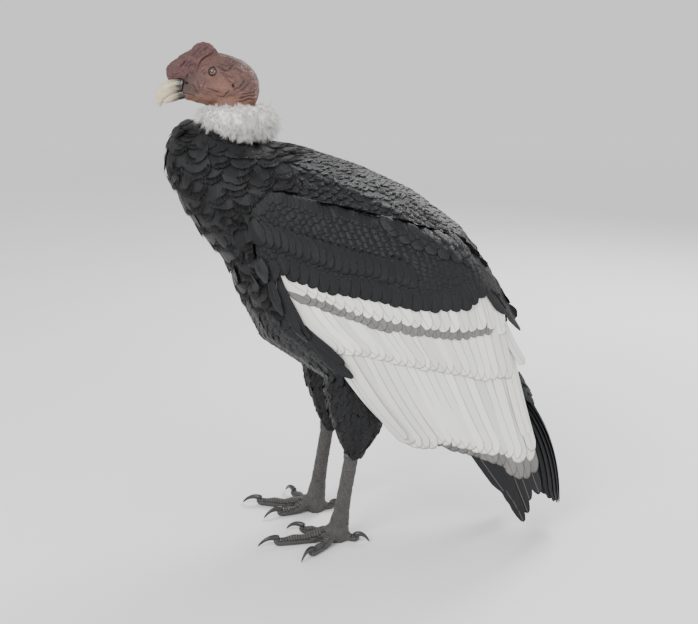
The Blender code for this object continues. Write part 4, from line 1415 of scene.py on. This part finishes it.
class CONDOR_OT_wings(bpy.types.Operator):
    """Coverts and flight feathers of both folded wings, in overlapping rows"""

    bl_idname = "condor.wings"
    bl_label = "Wings"

    def execute(self, context):
        looks = {kind: feather_look(kind) for kind in ("covert", "white", "grey", "primary")}
        for name, side in SIDES.items():
            form = wing_form(name)
            self.coverts(name, side, form, looks["covert"])
            for seed, (row, count, bow, low, high, width, kind, blunt, roots, tips) in enumerate(LONG_ROWS):
                plumage = Plumage(f"{row}_{name}", 60 + seed, LONG_VANE)
                chance = plumage.chance
                for share in np.linspace(0, 1, count):
                    root = spot(roots, share) + chance.normal(0, 0.0015, 2)
                    tip = spot(tips, share) + chance.normal(0, 0.0012, 2)
                    path = seen_path(form, root, tip, bow * (1.1 - 0.8 * share), side, low, high)
                    plumage.add(path, width * chance.uniform(0.94, 1.06), -0.085 * side)
                if row == "secondaries_white":
                    for *ends, bow, width in REAR_WHITE:
                        path = seen_path(form, *wing_line(*ends), bow, side, -0.0085, -0.0004)
                        plumage.add(path, width, -0.06 * side)
                slot = "plumage_black" if kind == "primary" else "plumage_white"
                thing = plumage.build(strap, blunt, 0.10, 0.0009, 0.004, looks[kind], slot, 0.013)
                if row == "secondaries_white":
                    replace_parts(thing, f"secondaries_{name}", f"coverts_greater_{name}")
                if row == "primaries_black":
                    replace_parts(thing, f"primaries_{name}")
        return {"FINISHED"}

    def coverts(self, name, side, form, look):
        """Black coverts: small ones all over, the combed row, the lowest row, scales and the front edge."""
        small = Plumage(f"coverts_small_{name}", 40)
        large = Plumage(f"coverts_large_{name}", 50, Vane(8, 8))
        chance = small.chance
        for row in range(COVERT_ROWS):
            for place in range(COVERT_PLACES):
                share = (place + 0.5 * (row % 2) + chance.uniform(-0.15, 0.15)) / (COVERT_PLACES - 1)
                down = max(0, row / (COVERT_ROWS - 1) * 1.07 - 0.07)
                aft, z = mix(spot(WING_TOP, share), spot(BLACK_EDGE, share) + (-0.010, 0.036), down)
                heading = np.array((mix(0.24, 0.52, share), 0, -0.93))
                root = form.first_from_side(WRIST_X + aft, z, side)
                loose = 0.004 if share > 0.9 else 0.03
                length = 0.029 * chance.uniform(0.88, 1.12)
                path = traced(form, root, heading, length, -0.0030, 0.0, loose)
                small.add(path, 0.0086 * chance.uniform(0.9, 1.1), -0.05 * side)
        lowest = along_line(BLACK_EDGE, np.linspace(0, 1, 12)) + (-0.014, 0.046)
        for roots, tips, count, bow, low, high, width in (
            (COMB_ROOTS, COMB_TIPS, 21, 0.14, -0.0012, 0.0024, 0.0145),
            (lowest, BLACK_EDGE, 24, 0.06, -0.0020, 0.0014, 0.0145),
        ):
            for share in np.linspace(0, 1, count):
                tip = spot(tips, share) + chance.normal(0, 0.0010, 2)
                large.add(seen_path(form, spot(roots, share), tip, bow, side, low, high), width, -0.10 * side)
        inner, trunk = smoothed_form([f"coverts_lesser_{name}"]), Surface.of_node("trunk")
        for index in spread(inner.points, 0.0115, 46):
            place, normal = inner.nearest(inner.points[index])
            turned_in = normal[1] * side < 0.5 and normal[2] > -0.25
            above_tip = place[2] > INNER_BOTTOM or place[0] < THIN_WING
            if turned_in and above_tip and trunk.gap(place) > 0.003:
                heading = np.array((0.50, 0, -0.85)) + chance.normal(0, 0.05, 3)
                loose = 0.008 if place[0] < WRIST_X + 0.42 else 0.003
                length = 0.034 * chance.uniform(0.9, 1.1)
                path = traced(inner, place, heading, length, -0.0030, -0.0006, loose)
                small.add(path, 0.0100 * chance.uniform(0.9, 1.1), 0.04 * side)
        for row in range(SCALE_ROWS):
            for place in range(7):
                share = (place + 0.5 * (row % 2)) / 6.6
                down = row / (SCALE_ROWS - 1)
                aft, z = mix(spot(SCALES_TOP, share), spot(SCALES_BOTTOM, share), down)
                root = form.first_from_side(WRIST_X + aft - 0.019, z + 0.026, side)
                path = traced(form, root, np.array((0.60, 0, -0.80)), 0.034, 0.0, 0.0030)
                large.add(path, 0.0110, -0.04 * side)
        for *ends, bow, width in FRONT_EDGE:
            path = seen_path(form, *wing_line(*ends), bow, side, -0.0010, 0.0026)
            large.add(path, width, -0.04 * side)
        small.build(petal, 0.36, 0.14, 0.0005, 0.020, look, "plumage_black")
        thing = large.build(petal, 0.32, 0.14, 0.0006, 0.012, look, "plumage_black")
        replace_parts(thing, f"coverts_lesser_{name}")


class CONDOR_OT_tail(bpy.types.Operator):
    """Twelve long black tail feathers"""

    bl_idname = "condor.tail"
    bl_label = "Tail"

    def execute(self, context):
        root = np.array((WRIST_X + 0.431, 0.0, TAIL_HIGH.z))
        bend = np.array((TAIL_HIGH.x - 0.004, 0.0, 0.245))
        tip = np.array((TAIL_HIGH.x, 0.0, TAIL_LOW.z + 0.001))
        outward = np.array((0.96, 0.0, 0.28))
        tail = Plumage("tail_feathers", 81, LONG_VANE)
        for across in np.linspace(-1, 1, 12):
            along = np.linspace(0, 1, PATH_POINTS)[:, None] * (0.995 - 0.11 * across * across)
            angle = 1.3 * np.sign(across) * abs(across) ** 1.25
            reach = 0.050 * (0.30 + 0.70 * along)
            lie = outward * math.cos(angle) + np.array((0.0, math.sin(angle), 0.0))
            points = curve(root, bend, tip, along)
            points = points + (lie - outward) * reach - lie * 0.0075 * abs(across)
            tail.add((points, np.tile(lie, (PATH_POINTS, 1))), 0.0180, 0.03 * np.sign(across))
        black = feather_look("tail")
        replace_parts(tail.build(strap, 0.09, 0.17, 0.0011, 0.004, black, "plumage_black", 0.014), "tail")
        return {"FINISHED"}


# --- thighs, ruff and legs ----------------------------------------------------------------


THIGH_HEIGHTS = np.arange(0.186, 0.352, 0.0075)
THIGH_ROUND = 26  # feathers in a ring of a thigh
KNEE_ROUND = 64  # longer ones that hang over the top of the bare leg


class CONDOR_OT_thigh_feathers(bpy.types.Operator):
    """Short soft feathers of the thighs, ragged over the tops of the bare legs"""

    bl_idname = "condor.thigh_feathers"
    bl_label = "Thigh Feathers"

    def execute(self, context):
        black = feather_look("thigh")
        form = smoothed_form(["trunk"] + both("thigh"))
        for name in SIDES:
            low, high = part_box(f"thigh_{name}")
            solid = Surface.of_node(f"thigh_{name}")
            plumage = Plumage(f"feathers_thigh_{name}", 90, Vane(5, 6))
            chance = plumage.chance
            for row, z in enumerate(THIGH_HEIGHTS):
                for turn in range(THIGH_ROUND):
                    turn = turn + 0.5 * (row % 2) + chance.uniform(-0.2, 0.2)
                    angle = 2 * math.pi * turn / THIGH_ROUND
                    out = Vector((math.cos(angle), math.sin(angle), 0))
                    start = Vector(((low.x + high.x) / 2, (low.y + high.y) / 2, z)) + out * 0.12
                    found = solid.tree.ray_cast(start, -out)[0]
                    if found is None or form.gap(found) > 0.004:
                        continue
                    heading = np.array((0.10, 0, -1.0)) + chance.normal(0, 0.12, 3)
                    path = traced(solid, found, heading, 0.023 * chance.uniform(0.8, 1.2), -0.0015, 0.0022)
                    plumage.add(path, 0.0062 * chance.uniform(0.85, 1.15), chance.normal(0, 0.1))
            middle = solid.points[solid.points[:, 2] < 0.20].mean(0)
            for turn in np.arange(KNEE_ROUND) * 2 * math.pi / KNEE_ROUND:
                out = np.array((math.cos(turn), math.sin(turn), 0))
                start = middle * (1, 1, 0) + (0, 0, 0.193 + 0.005 * (turn * 10.2 % 2)) + out * 0.1
                found = solid.tree.ray_cast(Vector(start), Vector(-out))[0]
                if found is None:
                    continue
                fall = unit(np.array((0, 0, -1.0)) - out * 0.35 + chance.normal(0, 0.12, 3))
                steps = np.linspace(0, 1, PATH_POINTS)[:, None]
                line = np.array(found) + fall * steps * chance.uniform(0.014, 0.024)
                plumage.add((line, np.tile(out, (PATH_POINTS, 1))), 0.0050, chance.normal(0, 0.1))
            plumage.build(petal, 0.38, 0.16, 0.0005, 0.05, black, "plumage_black")
        return {"FINISHED"}


def solids_from(name, points, faces, tone, tip, local, roots, material, slot):
    """Many copies of one small solid, as one mesh with their tones and bake places."""
    count, size = points.shape[:2]
    all_faces = faces + (np.arange(count) * size)[:, None, None]
    thing = mesh_from(name, points.reshape(-1, 3), all_faces.reshape(-1, faces.shape[1]))
    add_numbers(thing, "tone", np.repeat(tone, size))
    add_numbers(thing, "tip", np.tile(tip, count))
    add_bake_map(thing, unwrapped(roots)[:, None] + local[faces.ravel()] * 0.003)
    return finished(thing, material, slot)


def locks(name, roots, headings, lengths, droops, width, seed, material, slot):
    """Thin curved tufts, each a three-sided taper of three rings and a point."""
    chance = np.random.default_rng(seed)
    count = len(roots)
    ahead = unit(headings)
    side = unit(np.cross(ahead, chance.normal(size=(count, 3))))
    other = np.cross(ahead, side)
    points = []
    tip = []
    for part, size in ((0.0, 1.0), (0.42, 0.8), (0.78, 0.45)):
        centre = roots + (ahead * part + droops * part**2) * lengths[:, None]
        for turn in np.arange(3) * 2 * math.pi / 3:
            points.append(centre + (side * math.cos(turn) + other * math.sin(turn)) * width * size)
            tip.append(part)
    points.append(roots + (ahead + droops) * lengths[:, None])
    tip.append(1.0)
    faces = [(2, 1, 0)]
    for a, b in ((0, 1), (1, 2), (2, 0)):
        for ring in (0, 3):
            faces += [(a + ring, b + ring, b + ring + 3), (a + ring, b + ring + 3, a + ring + 3)]
        faces.append((a + 6, b + 6, 9))
    local = np.stack([np.r_[np.tile((-0.5, 0.0, 0.5), 3), 0.0], np.array(tip) - 0.5], -1)
    points = np.stack(points, 1)
    tone = chance.uniform(0, 1, count)
    return solids_from(name, points, np.array(faces), tone, tip, local, roots, material, slot)


CLUMPS = 1700  # in each layer of the ruff
TUFTS = 7  # in a clump
TUFT_WIDTH = 0.00036


class CONDOR_OT_ruff(bpy.types.Operator):
    """Thick collar of white down round the base of the neck"""

    bl_idname = "condor.ruff"
    bl_label = "Ruff"

    def execute(self, context):
        settings = context.scene.condor
        white = np.array(settings.down)
        shades = (white * 0.72, white, white * 0.9)
        look = worn_material("down", shades, 70.0, (0.85, 0.95), 0.3, 0.001, Sheen_Weight=0.25)
        core = remeshed("ruff", "ruff_core", 0.0025, 12, -0.0075)
        points = coordinates(core)
        normals = vertex_normals(core)
        move_to(core, points + normals * (0.0014 * ripple(points, 0.014, 8))[:, None])
        points = coordinates(core)
        add_numbers(core, "tone", 0.5 + 0.5 * ripple(points, 0.01, 9))
        add_numbers(core, "tip", np.full(len(points), 0.45))
        finished(core, look, "down_white", "ruff")
        chance = np.random.default_rng(17)

        def each(values):
            """The values of a clump, for each of its tufts."""
            return np.repeat(values, TUFTS, 0)

        for layer, (lean, size) in enumerate(((1.15, 1.0), (0.80, 1.05))):
            picked = chance.choice(len(points), CLUMPS)
            normal = normals[picked]
            swirl = np.stack([ripple(points[picked], 0.02, 70 + axis + 3 * layer) for axis in range(3)], -1)
            inside = normal[:, 2:] > 0.5
            outer = normal * (1.0 - lean * 0.35) + np.array((0.18, 0.0, -1.0)) * lean + swirl * 0.45
            heading = np.where(inside, normal + swirl * 0.6, outer) + chance.normal(0, 0.22, (CLUMPS, 3))
            heading = each(unit(heading)) + chance.normal(0, 0.20, (CLUMPS * TUFTS, 3))
            curl = each(chance.normal(0, 0.55, (CLUMPS, 3)) - (0, 0, 0.30)) - each(normal * 0.35)
            roots = each(points[picked]) + chance.normal(0, 0.0009, (CLUMPS * TUFTS, 3))
            lengths = settings.down_length * size * each(chance.uniform(0.6, 1.05, CLUMPS))
            lengths *= chance.uniform(0.75, 1.0, CLUMPS * TUFTS) * np.where(each(inside[:, 0]), 0.7, 1.0)
            curl += chance.normal(0, 0.15, curl.shape)
            name = f"ruff_down_{layer}"
            locks(name, roots, heading, lengths, curl, TUFT_WIDTH, 18 + layer, look, "down_white")
        return {"FINISHED"}


class CONDOR_OT_bristles(bpy.types.Operator):
    """Sparse short black bristles on the lores, chin and cheeks"""

    bl_idname = "condor.bristles"
    bl_label = "Bristles"

    def execute(self, context):
        skin = Surface(bpy.data.objects["skin"])
        chance = np.random.default_rng(51)
        forward, up = EYE.x - skin.points[:, 0], skin.points[:, 2] - EYE.z
        bare = skin.points[(up > -0.066) & (up < 0.034 - 0.7 * forward) & ~near_eyes(skin.points, 0.009)]
        roots, normals = zip(*(skin.nearest(bare[index]) for index in spread(bare, 0.0042, 52)))
        roots, normals = np.array(roots), np.array(normals)
        lores = smooth_step(0.0, 0.045, EYE.x - roots[:, 0])
        kept = chance.uniform(0, 1, len(roots)) < 0.30 + 0.65 * lores
        roots, normals, count = roots[kept], normals[kept], kept.sum()
        heading = normals * 0.75 + (0.75, 0, -0.45) + chance.normal(0, 0.3, (count, 3))
        lengths = chance.uniform(0.0028, 0.0048, count)
        shades = ((0.004,) * 3, (0.007,) * 3, (0.02,) * 3)
        look = worn_material("bristle", shades, 300.0, (0.4, 0.6), 0.2, 0.0003)
        roots = roots - normals * 0.0004
        droops = -normals * 0.35
        locks("face_bristles", roots, heading, lengths, droops, 0.00016, 53, look, "plumage_black")
        return {"FINISHED"}


LEG_HEIGHTS = np.arange(0.034, 0.204, 0.0033)
LEG_ROUND = 25  # scales in a ring of a leg
LEG_REACH = 0.035
SCALE_RADIUS = 0.00185
FOOT_TOP = 0.045
FOOT_GAP = 0.0030
SCUTE_GAP = 0.0050
SCUTE_STATIONS = (0.0, 0.0027, 0.0058)  # rows of places along a scute
SCUTE_ACROSS = 9  # places in each row
TOE_MIDDLE = 0.0080  # height of a toe's axis over the floor


class CONDOR_OT_leg_scales(bpy.types.Operator):
    """Small domed scales round the bare legs, and broad scutes over the toes"""

    bl_idname = "condor.leg_scales"
    bl_label = "Leg Scales"

    def execute(self, context):
        legs = np.array(context.scene.condor.legs)
        look = worn_material("leg_scales", (legs * 0.35, legs, legs * 2.2), 350.0, (0.38, 0.6), 0.35, 0.0004)
        surface = Surface(bpy.data.objects["skin"])
        for name in SIDES:
            self.small_scales(name, surface, look, self.toe_scutes(name, surface, look))
        return {"FINISHED"}

    def small_scales(self, name, skin, look, scutes):
        """Six-sided plates with a domed face, in staggered rings up the leg and all over the foot."""
        chance = np.random.default_rng(30)
        bone = Surface.of_node(f"tarsus_{name}").points
        slope = np.polyfit(bone[:, 2], bone[:, :2], 1)
        centres = []
        ups = []
        for row, z in enumerate(LEG_HEIGHTS):
            middle = slope[0] * z + slope[1]
            for turn in range(LEG_ROUND):
                angle = 2 * math.pi * (turn + 0.5 * (row % 2)) / LEG_ROUND
                out = Vector((math.cos(angle), math.sin(angle), 0))
                start = Vector((*middle, z)) + out * LEG_REACH
                found, normal, _, _ = skin.tree.ray_cast(start, -out, LEG_REACH)
                if found is not None:
                    centres.append(np.array(found) + chance.normal(0, 0.00025, 3))
                    ups.append(np.array(normal))
        taken = KDTree(len(scutes) + len(centres))
        for index, place in enumerate((*scutes, *centres)):
            taken.insert(place, index)
        taken.balance()
        foot = skin.points[(skin.points[:, 2] < FOOT_TOP) & (skin.points[:, 1] * SIDES[name] > 0)]
        for index in spread(foot, FOOT_GAP, 35):
            place, normal = skin.nearest(foot[index])
            if normal[2] > -0.5 and taken.find(place)[2] > 0.0026:
                centres.append(place)
                ups.append(normal)
        centres, ups = np.array(centres), np.array(ups)
        lean = np.array((0.1, 0.0, 1.0))
        upward = unit(lean - ups * (ups @ lean)[:, None])
        sideways = np.cross(upward, ups)
        size = SCALE_RADIUS * chance.uniform(0.88, 1.10, len(centres))[:, None]
        turns = math.pi * (np.arange(6) + 0.5) / 3
        plate = [
            centres + (sideways * math.cos(turn) + upward * math.sin(turn)) * size * share + ups * height
            for share, height in ((1.0, -0.0003), (0.72, 0.00042)) for turn in turns
        ]
        plate = np.stack([*plate, centres + ups * 0.00056, centres - ups * 0.0006], 1)
        plate[..., 2] = plate[..., 2].clip(0.0001)
        faces = []
        for a in range(6):
            b = (a + 1) % 6
            faces += [(a, b, 6 + b), (a, 6 + b, 6 + a), (6 + a, 6 + b, 12), (b, a, 13)]
        ring = np.stack([np.cos(turns), np.sin(turns)], -1) * 0.5
        local = np.r_[ring, ring * 0.72, np.zeros((2, 2))]
        tone = chance.uniform(0, 1, len(centres))
        tip = np.r_[np.zeros(6), np.full(6, 0.6), 1.0, 0.0]
        piece = f"scales_tarsus_{name}"
        solids_from(piece, plate, np.array(faces), tone, tip, local, centres, look, "leg_skin")

    def toe_scutes(self, name, skin, look):
        """Overlapping bands across the top of each toe."""
        chance = np.random.default_rng(34)
        vane = Vane(len(SCUTE_STATIONS) - 1, SCUTE_ACROSS - 1, 1.0)
        tarsus = Surface.of_node(f"tarsus_{name}")
        solids = {toe: Surface.of_node(f"toe_{toe}_{name}") for toe in TOES}
        found_at = []
        normals = []
        for toe, solid in solids.items():
            others = [tarsus] + [other for key, other in solids.items() if key != toe]
            middle = solid.points[:, :2].mean(0)
            heading = np.linalg.svd(solid.points[:, :2] - middle, full_matrices=False)[2][0]
            claw_low, claw_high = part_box(f"claw_{toe}_{name}")
            claw = np.array(((claw_low + claw_high) / 2)[:2]) - middle
            heading = heading * np.sign(claw @ heading)
            along = (solid.points[:, :2] - middle) @ heading
            across = np.array((heading[1], -heading[0], 0.0))
            for start in np.arange(along.min(), along.max() - 0.006, SCUTE_GAP):
                for half in (1.30, 1.05, 0.80, 0.55):
                    band = self.band(skin, solid, others, middle, heading, across, start, half)
                    if band:
                        hits, ups = zip(*band)
                        found_at.append(np.reshape(hits, (-1, SCUTE_ACROSS, 3)))
                        normals.append(np.reshape(ups, (-1, SCUTE_ACROSS, 3)))
                        break
        base = np.array(found_at)[:, vane.row, vane.column]
        ups = np.array(normals)[:, vane.row, vane.column]
        lift = np.array((-0.0003, 0.0003, 0.0006))[vane.row]
        lift = lift + np.choose(vane.layer + 1, (-0.0007, -0.0002, 0.0003))
        edge = 1 - np.maximum(np.abs(vane.s) ** 4, np.abs(vane.t - 0.5) * 1.6).clip(0, 1)
        local = np.stack([vane.s * 0.5, vane.t - 0.5], -1)
        plates = base + ups * lift[:, None]
        tone = chance.uniform(0, 1, len(base))
        middles = base.mean(1)
        solids_from(f"scutes_{name}", plates, vane.faces, tone, edge, local, middles, look, "leg_skin")
        return base.reshape(-1, 3)

    def band(self, skin, solid, others, middle, heading, across, start, half):
        """Places and normals over the top of a toe, row by row, or None where the band leaves the toe."""
        found = []
        for station in SCUTE_STATIONS:
            centre = np.r_[middle + heading * (start + station), TOE_MIDDLE]
            for turn in np.linspace(-half, half, SCUTE_ACROSS):
                out = across * math.sin(turn) + np.array((0, 0, math.cos(turn)))
                hit, normal, _, _ = skin.tree.ray_cast(Vector(centre + out * 0.04), Vector(-out), 0.04)
                if hit is None or solid.gap(hit) > 0.003 or min(other.gap(hit) for other in others) < 0.0016:
                    return None
                found.append((np.array(hit), np.array(normal)))
        return found


# --- stage ----------------------------------------------------------------------------------

CAMERA_AFT_OF_EYE = 0.2355
CAMERA_AWAY = 1.8
CAMERA_HEIGHT = 0.9
CAMERA_DOWN = 14.5  # degrees
CAMERA_LENS = 51.2  # mm, on 36 mm
FLOOR_RADIUS = 30
FLOOR_HEIGHT = -0.0002
STUDIO_MIDDLE = Vector((0, 0, 0.45))  # that the lights point at
LIGHTS = (  # name, place, size and power
    ("key", (-1.6, -2.4, 2.4), 1.6, 95.0),
    ("fill", (2.2, -1.8, 1.3), 2.2, 30.0),
    ("rim", (1.4, 2.0, 2.3), 1.2, 80.0),
)


class CONDOR_OT_stage(bpy.types.Operator):
    """Pale floor, soft studio lights and the camera"""

    bl_idname = "condor.stage"
    bl_label = "Stage"

    def execute(self, context):
        bpy.ops.object.select_all(action="DESELECT")
        low = (0, 0, FLOOR_HEIGHT)
        bpy.ops.mesh.primitive_circle_add(vertices=96, radius=FLOOR_RADIUS, fill_type="NGON", location=low)
        floor = context.object
        bpy.ops.object.transform_apply()
        floor.name = "floor"
        look = Shader("floor", Roughness=0.85, Specular_IOR_Level=0.0)
        place = look.place()
        near = look.blend(look.noise(place, 3.0, 2.0), (0.84, 0.84, 0.84), (0.88, 0.88, 0.88))
        away = look.add("VectorMath", {0: place}, operation="LENGTH").outputs["Value"]
        faded = look.blend(look.span(away, 1.2, 9.0), near, (0.995, 0.995, 0.995))
        floor.data.materials.append(look.finish(faded))
        world = bpy.data.worlds.new("studio")
        context.scene.world = world
        world.use_nodes = True
        sky = world.node_tree.nodes["Background"].inputs
        sky["Color"].default_value = (1.0, 1.0, 1.0, 1.0)
        sky["Strength"].default_value = 0.95
        for name, place, size, power in LIGHTS:
            light = bpy.data.lights.new(name, "AREA")
            light.size = size
            light.energy = power
            lamp = bpy.data.objects.new(name, light)
            lamp.location = place
            lamp.rotation_euler = (STUDIO_MIDDLE - lamp.location).to_track_quat("-Z", "Y").to_euler()
            context.scene.collection.objects.link(lamp)
        camera_data = bpy.data.cameras.new("camera")
        camera_data.lens = CAMERA_LENS
        camera_data.sensor_width = 36.0
        camera = bpy.data.objects.new("camera", camera_data)
        camera.location = (EYE.x + CAMERA_AFT_OF_EYE, -CAMERA_AWAY, CAMERA_HEIGHT)
        camera.rotation_euler = (math.radians(90 - CAMERA_DOWN), 0, 0)
        context.scene.collection.objects.link(camera)
        context.scene.camera = camera
        return {"FINISHED"}


# --- add-on ---------------------------------------------------------------------------------

OPERATORS = (
    CONDOR_OT_skin,
    CONDOR_OT_eyes,
    CONDOR_OT_bill,
    CONDOR_OT_claws,
    CONDOR_OT_body_feathers,
    CONDOR_OT_wings,
    CONDOR_OT_tail,
    CONDOR_OT_thigh_feathers,
    CONDOR_OT_ruff,
    CONDOR_OT_bristles,
    CONDOR_OT_leg_scales,
    CONDOR_OT_stage,
)


class CONDOR_PT_panel(bpy.types.Panel):
    """Buttons and settings for building the bird"""

    bl_idname = "CONDOR_PT_panel"
    bl_label = "Andean Condor"
    bl_space_type = "VIEW_3D"
    bl_region_type = "UI"
    bl_category = "Condor"

    def draw(self, context):
        for name in CondorSettings.__annotations__:
            self.layout.prop(context.scene.condor, name)
        for operator in OPERATORS:
            self.layout.operator(operator.bl_idname)


CLASSES = (CondorSettings, *OPERATORS, CONDOR_PT_panel)


def register():
    for each in CLASSES:
        bpy.utils.register_class(each)
    bpy.types.Scene.condor = bpy.props.PointerProperty(type=CondorSettings)


def unregister():
    del bpy.types.Scene.condor
    for each in reversed(CLASSES):
        bpy.utils.unregister_class(each)


def main():
    register()
    for operator in OPERATORS:
        group, name = operator.bl_idname.split(".")
        getattr(getattr(bpy.ops, group), name)()


if __name__ == "__main__":
    main()
